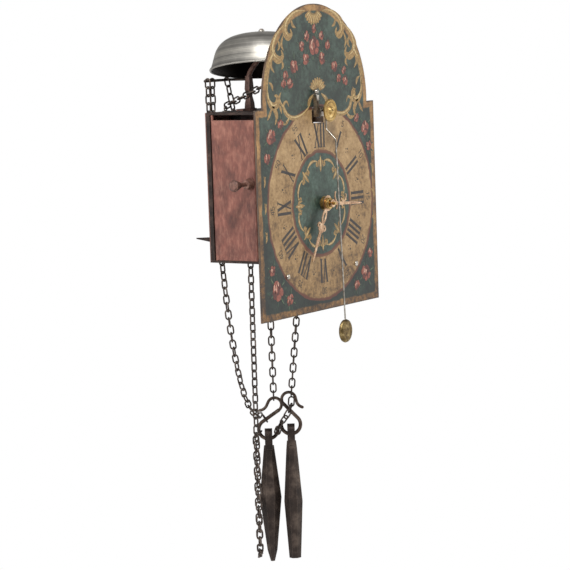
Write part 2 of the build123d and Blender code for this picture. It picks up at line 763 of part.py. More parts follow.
# Escapement and pendulum
with BuildPart() as verge:
    round_bar(hands_x, verge_z, disc_front + 0.5, frame_front - end_shake, verge_radius)
    round_bar(hands_x, verge_z, frame_front - end_shake, frame_front + bar_thickness - end_shake, pivot_radius)
    for side in (-1, 1):
        direction = radians(-90 + side * pallet_angle)
        centre_y = crown_y + side * (crown_radius - 0.6)
        middle = pallet_length / 2
        with BuildSketch(seen_from_front(centre_y + pallet_width / 2)) as pallet:
            with Locations((hands_x + middle * cos(direction), verge_z + middle * sin(direction))):
                Rectangle(pallet_length, pallet_thickness, rotation=degrees(direction))
        extrude(pallet.sketch, amount=pallet_width)
verge.part.label = "verge"
export_step(verge.part, "parts/verge.step")

with BuildPart() as pendulum_disc:
    profile_plane = Plane(origin=(hands_x, disc_back, verge_z), x_dir=(1, 0, 0), z_dir=(0, 0, 1))
    with BuildSketch(profile_plane) as disc_profile:
        with BuildLine():
            Polyline((verge_radius + seat, 0), (disc_radius - 0.6, 0), (disc_radius, -0.8),
                     (disc_radius, -2), (disc_radius - 0.9, -2.8), (disc_radius - 2.1, -2.2),
                     (disc_radius - 3, -2.3), (disc_radius - 3.8, -2.9), (disc_radius - 4.6, -2.3),
                     (5.4, -2.1), (4.8, -2.8), (4, -2.5), (3.4, -4), (2.3, -5),
                     (verge_radius + seat, -5), close=True)
        make_face()
    revolve(disc_profile.sketch, axis=Axis((hands_x, 0, verge_z), (0, 1, 0)))
pendulum_disc.part.label = "pendulum_disc"
export_step(pendulum_disc.part, "parts/pendulum_disc.step")

bob_top_z = bob_z + bob_half_height
with BuildPart() as pendulum_wire:
    with BuildLine() as wire_path:
        Polyline((hands_x, wire_y, verge_z - verge_radius - 0.8), (hands_x, wire_y, wire_bend_high),
                 (hands_x, wire_front, wire_bend_low), (hands_x, wire_low_y, bob_top_z + 0.2))
    below_arbor = Plane(origin=(hands_x, wire_y, verge_z - verge_radius - 0.8), z_dir=(0, 0, -1))
    with BuildSketch(below_arbor) as gauge:
        Circle(wire_radius)
    sweep(gauge.sketch, path=wire_path.wires()[0], transition=Transition.ROUND)
    round_bar(hands_x, verge_z, wire_y - 1.5, wire_y + 1.5, verge_radius + 1.6)
    round_bar(hands_x, verge_z, wire_y - 2, wire_y + 2, verge_radius + seat, Mode.SUBTRACT)
pendulum_wire.part.label = "pendulum_wire"
export_step(pendulum_wire.part, "parts/pendulum_wire.step")

with BuildPart() as pendulum_bob:
    for side in (-1, 1):
        faces = []
        for share, shrink in ((0, 0), (0.55, 0.6), (0.9, 2.2), (1, 4)):
            with BuildSketch(seen_from_front(wire_low_y + side * share * bob_thickness / 2)) as bob_slice:
                with Locations((hands_x, bob_z)):
                    Ellipse(bob_half_width - shrink, bob_half_height - shrink)
            faces.append(bob_slice.sketch)
        loft(faces, ruled=True)
pendulum_bob.part.label = "pendulum_bob"
export_step(pendulum_bob.part, "parts/pendulum_bob.step")

# Motion work and hands
minute_seat_y = minute_hand_y + hand_thickness / 2
with BuildPart() as minute_arbor:
    round_bar(hands_x, hands_z, minute_seat_y, frame_front - end_shake, minute_arbor_radius)
    round_bar(hands_x, hands_z, minute_seat_y - 2.6, minute_seat_y, minute_arbor_radius - 0.5)
    round_bar(hands_x, hands_z, arbor_tip_y, minute_seat_y - 1.5, minute_arbor_radius - 1)
    round_bar(hands_x, hands_z, frame_front - end_shake, frame_front + bar_thickness - end_shake, pivot_radius)
    toothed_wheel(hands_x, hands_z, report_back, wheel_thickness, minute_wheel_teeth, report_module,
                  minute_view + pi + pi / minute_wheel_teeth, hub=7)
    pinion(hands_x, hands_z, 18.5, 23.5, cannon_leaves, motion_module, motion_view)
minute_arbor.part.label = "minute_arbor"
export_step(minute_arbor.part, "parts/minute_arbor.step")

with BuildPart() as motion_report_wheel:
    toothed_wheel(hands_x, motion_z, 22, wheel_thickness, motion_wheel_teeth, motion_module,
                  across_from(motion_view, motion_wheel_teeth), hub=4.5)
    pinion(hands_x, motion_z, 8, 20.5, motion_pinion_leaves, hour_module, pi / 2)
    round_bar(hands_x, motion_z, 7.5, 22.5, motion_stud_radius + running, Mode.SUBTRACT)
motion_report_wheel.part.label = "motion_report_wheel"
export_step(motion_report_wheel.part, "parts/motion_report_wheel.step")

with BuildPart() as hour_wheel:
    toothed_wheel(hands_x, hands_z, 12, wheel_thickness, hour_wheel_teeth, hour_module,
                  -pi / 2 + pi / hour_wheel_teeth, hub=6)
    round_bar(hands_x, hands_z, -12, 12.5, hour_pipe_radius)
    round_bar(hands_x, hands_z, -12.5, 13, minute_arbor_radius + running, Mode.SUBTRACT)
hour_wheel.part.label = "hour_wheel"
export_step(hour_wheel.part, "parts/hour_wheel.step")

hour_hand_front = hour_hand_y - hand_thickness / 2
hour_hand_back = hour_hand_y + hand_thickness / 2
with BuildPart() as hand_hub:
    hub_plane = Plane(origin=(hands_x, 0, hands_z), x_dir=(1, 0, 0), z_dir=(0, 0, 1))
    bore = hour_pipe_radius + seat
    with BuildSketch(hub_plane) as hub_profile:
        with BuildLine():
            Polyline((bore, -2.3), (hub_radius - 0.7, -2.3), (hub_radius, -3), (hub_radius, -4),
                     (hub_radius - 0.9, -4.5), (hub_radius, -5), (hub_radius, -6),
                     (hub_radius - 0.9, -6.5), (hub_radius - 0.3, -7), (hub_radius - 0.3, hour_hand_back),
                     (hub_front_radius, hour_hand_back), (hub_front_radius, hour_hand_front - 1),
                     (hub_front_radius - 0.8, hour_hand_front - 1.6), (hub_front_radius, -10.9),
                     (hub_front_radius, -11.9), (hub_front_radius - 0.6, -12.5), (bore, -12.5), close=True)
        make_face()
    revolve(hub_profile.sketch, axis=Axis((hands_x, 0, hands_z), (0, 1, 0)))
hand_hub.part.label = "hand_hub"
export_step(hand_hub.part, "parts/hand_hub.step")


def hand_plane(y, angle):
    """A plane whose X axis runs from the hub along a hand."""
    turn = radians(angle)
    return Plane(origin=(hands_x, y, hands_z), x_dir=(cos(turn), 0, sin(turn)), z_dir=(0, -1, 0))


with BuildPart() as hour_hand:
    with BuildSketch(hand_plane(hour_hand_back - seat, hour_hand_angle)) as hour_shape:
        Circle(9)
        with Locations((17, 0)):
            Ellipse(9.5, 4.3)
            Ellipse(5.2, 1.7, mode=Mode.SUBTRACT)
        with Locations((30, 0)):
            Ellipse(5.5, 3.6)
        for side in (-1, 1):
            with Locations((29.5, side * 5.4)):
                Circle(3.6)
                Circle(1.3, mode=Mode.SUBTRACT)
            with Locations((34, side * 3)):
                Circle(1.9)
        with BuildLine():
            Polyline((33, -2.7), (52, -1.9), (70, -1.1), (hour_hand_length, 0), (70, 1.1), (52, 1.9),
                     (33, 2.7), close=True)
        make_face()
        Circle(hub_front_radius + seat, mode=Mode.SUBTRACT)
    extrude(hour_shape.sketch, amount=hand_thickness - 2 * seat)
hour_hand.part.label = "hour_hand"
export_step(hour_hand.part, "parts/hour_hand.step")

with BuildPart() as minute_hand:
    with BuildSketch(hand_plane(minute_seat_y - seat, minute_hand_angle)) as minute_shape:
        Circle(4.6)
        with BuildLine():
            Polyline((3, -2), (24, -1.6), (44, -1.5), (minute_hand_length - 4, -0.9),
                     (minute_hand_length, 0), (minute_hand_length - 4, 0.9), (44, 1.5), (24, 1.6),
                     (3, 2), close=True)
        make_face()
        for centre, radius, start, sweep_angle in (((13, 9), 9, 150, 150), ((22, 8), 5.5, 200, 190),
                                                   ((14, -7), 6.5, 30, 150)):
            with BuildLine():
                CenterArc(centre, radius + 0.8, start, sweep_angle)
                CenterArc(centre, radius - 0.8, start, sweep_angle)
                for end in (start, start + sweep_angle):
                    turn = radians(end)
                    Line((centre[0] + (radius - 0.8) * cos(turn), centre[1] + (radius - 0.8) * sin(turn)),
                         (centre[0] + (radius + 0.8) * cos(turn), centre[1] + (radius + 0.8) * sin(turn)))
            make_face()
        Circle(minute_arbor_radius - 0.5 + seat, mode=Mode.SUBTRACT)
    extrude(minute_shape.sketch, amount=hand_thickness - 2 * seat)
minute_hand.part.label = "minute_hand"
export_step(minute_hand.part, "parts/minute_hand.step")

# Strike train
with BuildPart() as strike_great_wheel:
    toothed_wheel(0, great_z, strike_great_back, great_thickness, strike_great_teeth, strike_great_module,
                  pin_view, hub=9)
    bar_to_bar(0, great_z, middle_bar_back, rear_bar_front, great_arbor_radius)
strike_great_wheel.part.label = "strike_great_wheel"
export_step(strike_great_wheel.part, "parts/strike_great_wheel.step")

with BuildPart() as strike_chain_wheel:
    sheave(great_z, strike_chain_y, great_arbor_radius + seat)
strike_chain_wheel.part.label = "strike_chain_wheel"
export_step(strike_chain_wheel.part, "parts/strike_chain_wheel.step")

with BuildPart() as count_wheel:
    with BuildSketch(seen_from_front(count_wheel_back)) as count_shape:
        with Locations((0, great_z)):
            Circle(count_wheel_radius)
            Circle(count_wheel_radius - 7, mode=Mode.SUBTRACT)
            Circle(6)
            Rectangle(2 * count_wheel_radius - 8, rim_width)
            Rectangle(rim_width, 2 * count_wheel_radius - 8)
            Circle(great_arbor_radius + seat, mode=Mode.SUBTRACT)
        strokes = 0
        for hour in range(1, 13):
            turn = 2 * pi * strokes / 78
            notch_radius = count_wheel_radius - count_notch_depth / 2 + 0.3
            with Locations((notch_radius * cos(turn), great_z + notch_radius * sin(turn))):
                Rectangle(count_notch_depth + 0.6, 1.4, rotation=degrees(turn), mode=Mode.SUBTRACT)
            strokes = strokes + hour
    extrude(count_shape.sketch, amount=1.5)
count_wheel.part.label = "count_wheel"
export_step(count_wheel.part, "parts/count_wheel.step")

with BuildPart() as pin_wheel:
    bar_to_bar(pin_x, pin_z, middle_bar_back, rear_bar_front, arbor_radius)
    pinion(pin_x, pin_z, strike_great_back - great_thickness - 1, strike_great_back + 1, pin_pinion_leaves,
           strike_great_module, across_from(pin_view, pin_pinion_leaves))
    toothed_wheel(pin_x, pin_z, pin_wheel_back, wheel_thickness, pin_wheel_teeth, pin_wheel_module,
                  hoop_view, hub=4)
    with BuildSketch(seen_from_front(pin_wheel_back)) as pin_ring:
        with Locations((pin_x, pin_z)):
            Circle(pin_circle + 1.6)
            Circle(pin_circle - 1.6, mode=Mode.SUBTRACT)
    extrude(pin_ring.sketch, amount=wheel_thickness)
    with BuildSketch(seen_from_front(pin_wheel_back - wheel_thickness)) as lifting_pins:
        with Locations((pin_x, pin_z)):
            with PolarLocations(pin_circle, hammer_pins):
                Circle(1)
    extrude(lifting_pins.sketch, amount=3)
pin_wheel.part.label = "pin_wheel"
export_step(pin_wheel.part, "parts/pin_wheel.step")

with BuildPart() as hoop_wheel:
    bar_to_bar(hoop_x, hoop_z, middle_bar_back, rear_bar_front, arbor_radius)
    pinion(hoop_x, hoop_z, pin_wheel_back - wheel_thickness - 1, pin_wheel_back + 1, hoop_pinion_leaves,
           pin_wheel_module, across_from(hoop_view, hoop_pinion_leaves))
    toothed_wheel(hoop_x, hoop_z, hoop_wheel_back, 1.5, hoop_wheel_teeth, hoop_wheel_module, fly_view, hub=4)
    with BuildSketch(seen_from_front(hoop_wheel_back + 3)) as hoop:
        with Locations((hoop_x, hoop_z)):
            Circle(13)
            Circle(11.6, mode=Mode.SUBTRACT)
        with Locations((hoop_x - 12, hoop_z)):
            Rectangle(6, 5, mode=Mode.SUBTRACT)
    extrude(hoop.sketch, amount=3)
hoop_wheel.part.label = "hoop_wheel"
export_step(hoop_wheel.part, "parts/hoop_wheel.step")

with BuildPart() as fly:
    bar_to_bar(fly_x, fly_z, middle_bar_back, rear_bar_front, pivot_radius + 0.15)
    pinion(fly_x, fly_z, hoop_wheel_back - 2.5, hoop_wheel_back + 1, fly_pinion_leaves, hoop_wheel_module,
           across_from(fly_view, fly_pinion_leaves))
    block(fly_x - fly_radius, fly_x + fly_radius, 99, 108, fly_z - 0.6, fly_z + 0.6)
    round_bar(fly_x, fly_z, 99, 108, 2.2)
fly.part.label = "fly"
export_step(fly.part, "parts/fly.step")


def flat_arm(points, y_front, y_back, width):
    """A flat forged arm through a row of points, seen from the front."""
    for (x_1, z_1), (x_2, z_2) in zip(points, points[1:]):
        with BuildSketch(seen_from_front(y_back)) as arm:
            with Locations(((x_1 + x_2) / 2, (z_1 + z_2) / 2)):
                length = hypot(x_2 - x_1, z_2 - z_1)
                SlotCenterToCenter(length, width, rotation=degrees(atan2(z_2 - z_1, x_2 - x_1)))
        extrude(arm.sketch, amount=y_back - y_front)


with BuildPart() as lifting_lever:
    bar_to_bar(locking_x, locking_z, middle_bar_back, rear_bar_front, arbor_radius)
    round_bar(locking_x, locking_z, 83.5, 97, 3)
    flat_arm(((locking_x, locking_z), (-19.5, 139.5), (-17.6, 138)), 84, 85.5, 2.4)
    flat_arm(((locking_x, locking_z), (-24, 185), (-20.5, hoop_z)), 94.2, 96.2, 2.4)
lifting_lever.part.label = "lifting_lever"
export_step(lifting_lever.part, "parts/lifting_lever.step")

with BuildPart() as hammer:
    bar_to_bar(hammer_x, hammer_z, middle_bar_back, rear_bar_front, arbor_radius)
    round_bar(hammer_x, hammer_z, 83.5, hammer_y + 3, 3)
    tail = bearing_from(hammer_x, hammer_z, pin_x, pin_z)
    flat_arm(((hammer_x, hammer_z), (hammer_x + 13 * cos(tail), hammer_z + 13 * sin(tail))), 84, 86, 3)
    flat_arm(((hammer_x, hammer_z), (49, 214), (49, 240), (hammer_head_x, 257),
              (hammer_head_x, hammer_head_z)), hammer_y - 1.2, hammer_y + 1.2, 3.6)
    side_bar(hammer_y, hammer_head_z, hammer_head_x - 5, hammer_head_x + 7, hammer_head_radius)
hammer.part.label = "hammer"
export_step(hammer.part, "parts/hammer.step")

# Bell, its stand and its nut
bell_axis = Vector(bell_lean_x, bell_lean_y, bell_lean_z)
bell_centre = Vector(bell_x, bell_y, bell_rim_z)
bell_side = Vector(-bell_lean_z, 0, bell_lean_x).normalized()
bell_profile_plane = Plane(origin=bell_centre, x_dir=bell_side, z_dir=bell_side.cross(bell_axis))
bell_turning = Axis(bell_centre, bell_axis)
bell_outline = ((1, 0), (0.972, 0.1), (0.924, 0.33), (0.862, 0.58), (0.756, 0.77), (0.634, 0.88),
                (0.4, 0.97), (0.13, 1))
with BuildPart() as bell:
    bore = 2.05
    inner_radius = bell_radius - bell_wall
    inner_height = bell_height - bell_wall
    with BuildSketch(bell_profile_plane) as bell_profile:
        with BuildLine():
            outer_edge = Spline(*[(share * bell_radius, rise * bell_height) for share, rise in bell_outline])
            inner_edge = Spline(*[(share * inner_radius, rise * inner_height) for share, rise in bell_outline])
            Line(outer_edge @ 0, inner_edge @ 0)
            Polyline(outer_edge @ 1, (bore, bell_height), (bore, inner_height), inner_edge @ 1)
        make_face()
    revolve(bell_profile.sketch, axis=bell_turning)
    with BuildSketch(bell_profile_plane) as lip_profile:
        with Locations((bell_radius - 1.2, 1.2)):
            Circle(1.5)
    revolve(lip_profile.sketch, axis=bell_turning)
bell.part.label = "bell"
export_step(bell.part, "parts/bell.step")

with BuildPart() as bell_nut:
    with BuildSketch(bell_profile_plane) as nut_profile:
        with BuildLine():
            top = bell_height + seat
            Polyline((bore, top), (7.2, top), (7.2, top + 1.4), (3.4, top + 1.6), (3.4, top + 4.2),
                     (2.6, top + 5.2), (bore, top + 5.2), close=True)
        make_face()
    revolve(nut_profile.sketch, axis=bell_turning)
bell_nut.part.label = "bell_nut"
export_step(bell_nut.part, "parts/bell_nut.step")


def stand_section(z, x, y, wide, deep):
    """A square section of the bell stand's forged foot."""
    with BuildSketch(Plane.XY.offset(z)) as section:
        with Locations((x, y)):
            Rectangle(wide, deep)
    return section.sketch


with BuildPart() as bell_stand:
    block(foot_left, foot_right, stand_y - foot_depth / 2, stand_y + foot_depth / 2,
          frame_top, frame_top + foot_thickness)
    loft([stand_section(frame_top + 1, 0, stand_y, 9, 9), stand_section(frame_top + 9, 0, stand_y, 8, 8)])
    loft([stand_section(frame_top + 9, 0, stand_y, 8, 8), stand_section(frame_top + 17, 0, stand_y, 5, 5)])
    loft([stand_section(frame_top + 17, 0, stand_y, 5, 5), stand_section(frame_top + 25, 0, stand_y, 9, 7)])
    loft([stand_section(frame_top + 25, 0, stand_y, 9, 7), stand_section(frame_top + 40, 0, stand_y, 6, 6)])
    collar = bell_centre + bell_axis * (bell_height - bell_wall)
    bend_end = bell_centre + bell_axis * (bell_height - 14)
    with BuildLine() as stem:
        Spline((0, stand_y, frame_top + 36), (0.3, stand_y - 0.8, frame_top + 42), bend_end,
               tangents=((0, 0, 1), bell_axis))
        Line(bend_end, collar)
    with BuildSketch(Plane(origin=(0, stand_y, frame_top + 36), z_dir=(0, 0, 1))) as stem_section:
        Circle(stand_rod_radius)
    sweep(stem_section.sketch, path=stem.wires()[0])
    boss_base = bell_centre + bell_axis * (bell_height - bell_wall - 3)
    with BuildSketch(Plane(origin=boss_base, z_dir=bell_axis)) as boss:
        Circle(5)
    extrude(boss.sketch, amount=3 - seat)
    with BuildSketch(Plane(origin=collar - bell_axis, z_dir=bell_axis)) as thread:
        Circle(2)
    extrude(thread.sketch, amount=bell_wall + 7)
bell_stand.part.label = "bell_stand"
export_step(bell_stand.part, "parts/bell_stand.step")

# Hooks and weights
bow_turn = 210
shank_length = 23.6


def hook(plane):
    """A forged hook: a ring for the weight, a straight shank and an open bow with an outward flick."""
    with BuildLine(plane) as ring_path:
        CenterArc((0, 0), ring_radius, 150, 250)
        end = (ring_radius * cos(radians(40)), ring_radius * sin(radians(40)))
        along = (-sin(radians(40)), cos(radians(40)))
        shank_end = (end[0] + shank_length * along[0], end[1] + shank_length * along[1])
        Line(end, shank_end)
    route = ring_path.wires()[0]
    with BuildSketch(Plane(origin=route @ 0, z_dir=route % 0)) as ring_section:
        Circle(ring_wire)
    sweep(ring_section.sketch, path=route)
    with BuildLine(plane) as bow_path:
        bow = JernArc(shank_end, along, bow_radius, -bow_turn)
        drop = Line(bow @ 1, bow @ 1 + (bow % 1) * 5)
        JernArc(drop @ 1, drop % 1, 10, 60)
    route = bow_path.wires()[0]
    with BuildSketch(Plane(origin=route @ 0, z_dir=route % 0)) as bow_section:
        Circle(bow_wire)
    sweep(bow_section.sketch, path=route)
    with Locations(route @ 0):
        Sphere(ring_wire)
    with Locations(route @ 1):
        Sphere(bow_wire)


right_hook_plane = hanging_plane(right_weight_x, right_weight_y, right_ring_z, 1, right_hook_lean)
left_hook_plane = hanging_plane(left_weight_x, left_weight_y, left_ring_z, -1, left_hook_lean)

with BuildPart() as right_hook:
    hook(right_hook_plane)
right_hook.part.label = "right_hook"
export_step(right_hook.part, "parts/right_hook.step")

with BuildPart() as left_hook:
    hook(left_hook_plane)
left_hook.part.label = "left_hook"
export_step(left_hook.part, "parts/left_hook.step")

eye_thickness = 9
eye_half_width = 7.5
eye_rise = 6
eye_drop = sqrt((ring_radius - ring_wire) ** 2 - (eye_thickness / 2) ** 2) + eye_hole_radius - 0.15


def weight(x, y, ring_z, sections):
    """A faceted spindle weight with a drilled eye round the hook's ring; sections give height and width."""
    eye_z = ring_z - eye_drop
    flats = hanging_plane(x, y, 0, 1)
    eye_plane = Plane(origin=Vector(x, y, eye_z) - flats.x_dir * (eye_thickness / 2),
                      x_dir=flats.z_dir, z_dir=flats.x_dir)
    shoulder = sections[0][0]
    rise = (eye_plane.y_dir.Z > 0) * 2 - 1
    with BuildSketch(eye_plane) as eye_shape:
        low = shoulder - 4 - eye_z
        with Locations((0, rise * (low + eye_rise) / 2)):
            Rectangle(2 * eye_half_width, eye_rise - low)
        with Locations((0, rise * eye_rise)):
            Circle(eye_half_width)
    extrude(eye_shape.sketch, amount=eye_thickness)
    rings = []
    for z, width in sections:
        section_plane = Plane(origin=(x, y, z), x_dir=flats.x_dir, z_dir=(0, 0, 1))
        with BuildSketch(section_plane) as ring:
            RegularPolygon(width / 2, 8, major_radius=False, rotation=22.5)
        rings.append(ring.sketch)
    loft(rings, ruled=True)
    with BuildSketch(eye_plane.offset(-1)) as hole:
        Circle(eye_hole_radius)
    extrude(hole.sketch, amount=eye_thickness + 2, mode=Mode.SUBTRACT)


right_shoulder = right_ring_z - eye_drop - eye_hole_radius - 3
left_shoulder = left_ring_z - eye_drop - eye_hole_radius - 3
with BuildPart() as right_weight:
    weight(right_weight_x, right_weight_y, right_ring_z,
           ((right_shoulder, 11), (right_shoulder - 10, 13), (-240, 22), (right_weight_bottom, 14)))
right_weight.part.label = "right_weight"
export_step(right_weight.part, "parts/right_weight.step")

with BuildPart() as left_weight:
    weight(left_weight_x, left_weight_y, left_ring_z,
           ((left_shoulder, 12), (left_shoulder - 9, 14), (-236, 26), (left_weight_bottom + 14, 12),
            (left_weight_bottom, 5)))
left_weight.part.label = "left_weight"
export_step(left_weight.part, "parts/left_weight.step")

# Chains
with BuildPart() as link:
    half_straight = (link_length - link_width) / 2
    bend = link_width / 2 - link_wire / 2
    with BuildLine(Plane.XZ) as link_path:
        Line((bend, -half_straight), (bend, half_straight))
        ThreePointArc((bend, half_straight), (0, half_straight + bend), (-bend, half_straight))
        Line((-bend, half_straight), (-bend, -half_straight))
        ThreePointArc((-bend, -half_straight), (0, -half_straight - bend), (bend, -half_straight))
    with BuildSketch(Plane(origin=(bend, 0, -half_straight), z_dir=(0, 0, 1))) as link_section:
        Circle(link_wire / 2)
    sweep(link_section.sketch, path=link_path.wires()[0])


def blend(a, b, share):
    """A direction partly from a and partly from b."""
    return a * (1 - share) + b * share


def straight_route(start, end, steps=80):
    """A straight route between two points."""
    return [start + (end - start) * (step / steps) for step in range(steps + 1)]


def curved_route(*points, steps=120):
    """A smooth route through a few points."""
    curve = Spline(*points)
    return [curve @ (step / steps) for step in range(steps + 1)]


def hanging_route(start, end, tightness, steps=1600):
    """A slack route between two points, as a chain hangs; tightness is the radius at its bottom."""
    level = Vector(end.X - start.X, end.Y - start.Y, 0)
    reach = level.length
    drop = end.Z - start.Z
    middle = reach / 2 - tightness * asinh(drop / (2 * tightness * sinh(reach / (2 * tightness))))
    base = start.Z - tightness * cosh(middle / tightness)
    route = []
    for step in range(steps + 1):
        s = reach * step / steps
        height = base + tightness * cosh((s - middle) / tightness)
        route.append(Vector(start.X, start.Y, 0) + level * (s / reach) + Vector(0, 0, height))
    return route


def tightness_for(start, end, lowest):
    """The bottom radius that lets a slack chain hang down to a given height."""
    reach = Vector(end.X - start.X, end.Y - start.Y, 0).length
    small = 2.0
    large = 60.0
    for attempt in range(40):
        trial = (small + large) / 2
        spread = 0
        for height in (start.Z - lowest, end.Z - lowest):
            spread += trial * asinh(sqrt((height / trial + 1) ** 2 - 1))
        if spread > reach:
            large = trial
        else:
            small = trial
    return trial


def evened(route, step):
    """The same route with its points at even distances."""
    points = [route[0]]
    carried = 0.0
    for point, following in zip(route, route[1:]):
        gap = (following - point).length
        while carried + gap >= step:
            point = point + (following - point) * ((step - carried) / gap)
            gap = (following - point).length
            carried = 0.0
            points.append(point)
        carried += gap
    return points


def link_places(parts, step=0.5):
    """Places of links along joined routes, turned a quarter turn each and closer together in bends.

    Each part is a route with the direction that the even links face at its start and at its end.
    """
    points = []
    facings = []
    for route, first_facing, last_facing in parts:
        even_route = evened(route, step)
        for number, point in enumerate(even_route):
            points.append(point)
            facings.append(blend(first_facing, last_facing, number / len(even_route)))
    points.append(parts[-1][0][-1])
    facings.append(parts[-1][2])
    window = int(link_pitch / 2 / step)
    count = len(points)
    headings = []
    for number in range(count):
        behind = max(0, number - window // 2)
        ahead = min(count - 1, number + window // 2)
        headings.append((points[ahead] - points[behind]).normalized())
    travelled = [0.0]
    for number in range(1, count):
        behind = max(0, number - window)
        ahead = min(count - 1, number + window)
        turn = min(radians(headings[behind].get_angle(headings[ahead])), 0.9)
        shorter = link_pitch / (link_pitch - 2.3 * turn**2)
        travelled.append(travelled[-1] + (points[number] - points[number - 1]).length * shorter)
    links = round(travelled[-1] / link_pitch + 0.45)
    spacing = travelled[-1] / links
    last_part = count - len(evened(parts[-1][0], step)) - 1
    places = []
    number = 0
    for place in range(links + 1):
        while number < count - 1 and travelled[number] < place * spacing - 1e-6:
            number += 1
        along = headings[number]
        stride = travelled[number] - travelled[max(number - 1, 0)]
        short = min((travelled[number] - place * spacing) / stride, 1) if stride > 0.01 else 0
        origin = blend(points[number], points[max(number - 1, 0)], short)
        facing = facings[number]
        facing = (facing - along * facing.dot(along)).normalized()
        if links % 2 and number > last_part:
            share = radians(90 * (number - last_part) / (count - 1 - last_part))
            facing = facing * cos(share) + along.cross(facing) * sin(share)
        if place % 2:
            facing = along.cross(facing)
        places.append(Plane(origin=origin, x_dir=along.cross(facing), z_dir=facing))
    return places


def add_links(places):
    """Set a link at every place, its length along the place's Y axis."""
    add([link.part.moved(place.location * Location((0, 0, 0), (90, 0, 0))) for place in places])


def end_link(eye, along, facing):
    """The place of a link whose near end goes round something at the eye."""
    centre = eye + along * (link_length / 2 - link_wire / 2)
    return Plane(origin=centre, x_dir=along.cross(facing), z_dir=facing)


hang_across = Vector(cos(radians(hang_turn)), -sin(radians(hang_turn)), 0)
hang_toward = Vector(-sin(radians(hang_turn)), -cos(radians(hang_turn)), 0)
upward = Vector(0, 0, 1)
across_clock = Vector(0, -1, 0)


def hang_point(x, y, z, right, up, toward=0.0):
    """A point set off from a hook's ring to the right, upwards and towards the viewer."""
    return Vector(x, y, z) + hang_across * right + upward * up + hang_toward * toward


def over_wheel(y, steps=120):
    """The half turn of a chain over its wheel, from the right side to the left."""
    turns = [pi * step / steps for step in range(steps + 1)]
    return [Vector(sheave_pitch_radius * cos(turn), y, great_z + sheave_pitch_radius * sin(turn))
            for turn in turns]


def bow_eye(plane, angle):
    """Where a chain link's end sits inside a hook's bow, at an angle from its top."""
    inside = bow_radius - bow_wire - link_wire / 2 - 0.1
    centre_y = bow_height
    local = (inside * sin(radians(angle)), centre_y + inside * cos(radians(angle)), 0)
    return plane.from_local_coords(Vector(*local))


half_link = link_length / 2 - link_wire / 2
right_eye = bow_eye(right_hook_plane, 38)
right_slot = Vector(50, 60.5, frame_bottom)
left_slot = Vector(-sheave_pitch_radius, going_chain_y, frame_bottom)
right_start = right_eye + (right_slot - right_eye).normalized() * half_link
left_ring_eye = hang_point(left_weight_x, left_weight_y, left_ring_z, -8.1, -1.8)
slack_along = (hang_across * -0.707 + upward * -0.707).normalized()
slack_last = end_link(left_ring_eye, slack_along, (slack_along.cross(hang_toward)).normalized())
slack_end = slack_last.origin + (hang_across * -0.38 + upward * -0.92).normalized() * 8.1
going_slack = hanging_route(left_slot, slack_end, tightness_for(left_slot, slack_end, chain_loop_low))
tail_start = right_eye + hang_toward * 6.0 - upward * 6.5
tail_end = hang_point(left_weight_x, left_weight_y, left_ring_z, 11.5, 0, 10)
with BuildPart() as going_chain:
    add_links(link_places((
        (straight_route(right_start, right_slot), hang_across, blend(hang_across, across_clock, 0.7)),
        (straight_route(right_slot, over_wheel(going_chain_y)[0]), blend(hang_across, across_clock, 0.7),
         across_clock),
        (over_wheel(going_chain_y), across_clock, across_clock),
        (straight_route(over_wheel(going_chain_y)[-1], left_slot), across_clock, across_clock),
        (going_slack, across_clock, hang_toward))))
    add_links([slack_last])
    add_links(link_places((
        (curved_route(tail_start, hang_point(right_weight_x, right_weight_y, right_ring_z, -5, 12, 8.5),
                      hang_point(right_weight_x, right_weight_y, right_ring_z, -13, 0, 6), tail_end),
         hang_toward, hang_toward),)))
going_chain.part.label = "going_chain"
export_step(going_chain.part, "parts/going_chain.step")

left_eye = bow_eye(left_hook_plane, 25)
strike_right_slot = Vector(sheave_pitch_radius, strike_chain_y, frame_bottom)
strike_left_slot = Vector(-sheave_pitch_radius, strike_chain_y, frame_bottom)
strike_start = left_eye + (strike_right_slot - left_eye).normalized() * half_link
shank_point = left_hook_plane.from_local_coords(Vector(6, 10.7, 0))
shank_lean = radians(40)
shank_along = left_hook_plane.y_dir * cos(shank_lean) - left_hook_plane.x_dir * sin(shank_lean)
short_along = (shank_along.cross(hang_toward) * -0.64 - hang_toward * 0.77).normalized()
short_eye = shank_point - short_along * (ring_wire + link_wire / 2 + 0.5)
short_last = end_link(short_eye, short_along, shank_along)
short_end = short_last.origin + (hang_across * -0.7 + upward * 0.3 - hang_toward * 0.65).normalized() * 9.1
strike_slack = hanging_route(strike_left_slot, short_end, 36)
with BuildPart() as strike_chain:
    add_links(link_places((
        (straight_route(strike_start, strike_right_slot), hang_across, blend(hang_across, across_clock, 0.7)),
        (straight_route(strike_right_slot, over_wheel(strike_chain_y)[0]),
         blend(hang_across, across_clock, 0.7), across_clock),
        (over_wheel(strike_chain_y), across_clock, across_clock),
        (straight_route(over_wheel(strike_chain_y)[-1], strike_left_slot), across_clock, across_clock),
        (strike_slack, across_clock, hang_toward))))
    add_links([short_last])
strike_chain.part.label = "strike_chain"
export_step(strike_chain.part, "parts/strike_chain.step")

# Spare chain behind the bell: three short strands between staples on the case and a rail under the bell
staple_radius = 2.6
staple_wire = 0.8
staple_y = sheet_back + 3.6
staple_z = frame_top - 1
rail_radius = 1.6
strand_links = 4
strand_feet = (-45, -36, 5)
strand_tops = (-45, -36, -7.2)
low_eye_z = staple_z + staple_radius - staple_wire - link_wire / 2 - 0.2
strand_span = (strand_links - 1) * link_pitch + 2 * half_link
rail_z = low_eye_z + strand_span - link_wire / 2 - rail_radius - 0.6


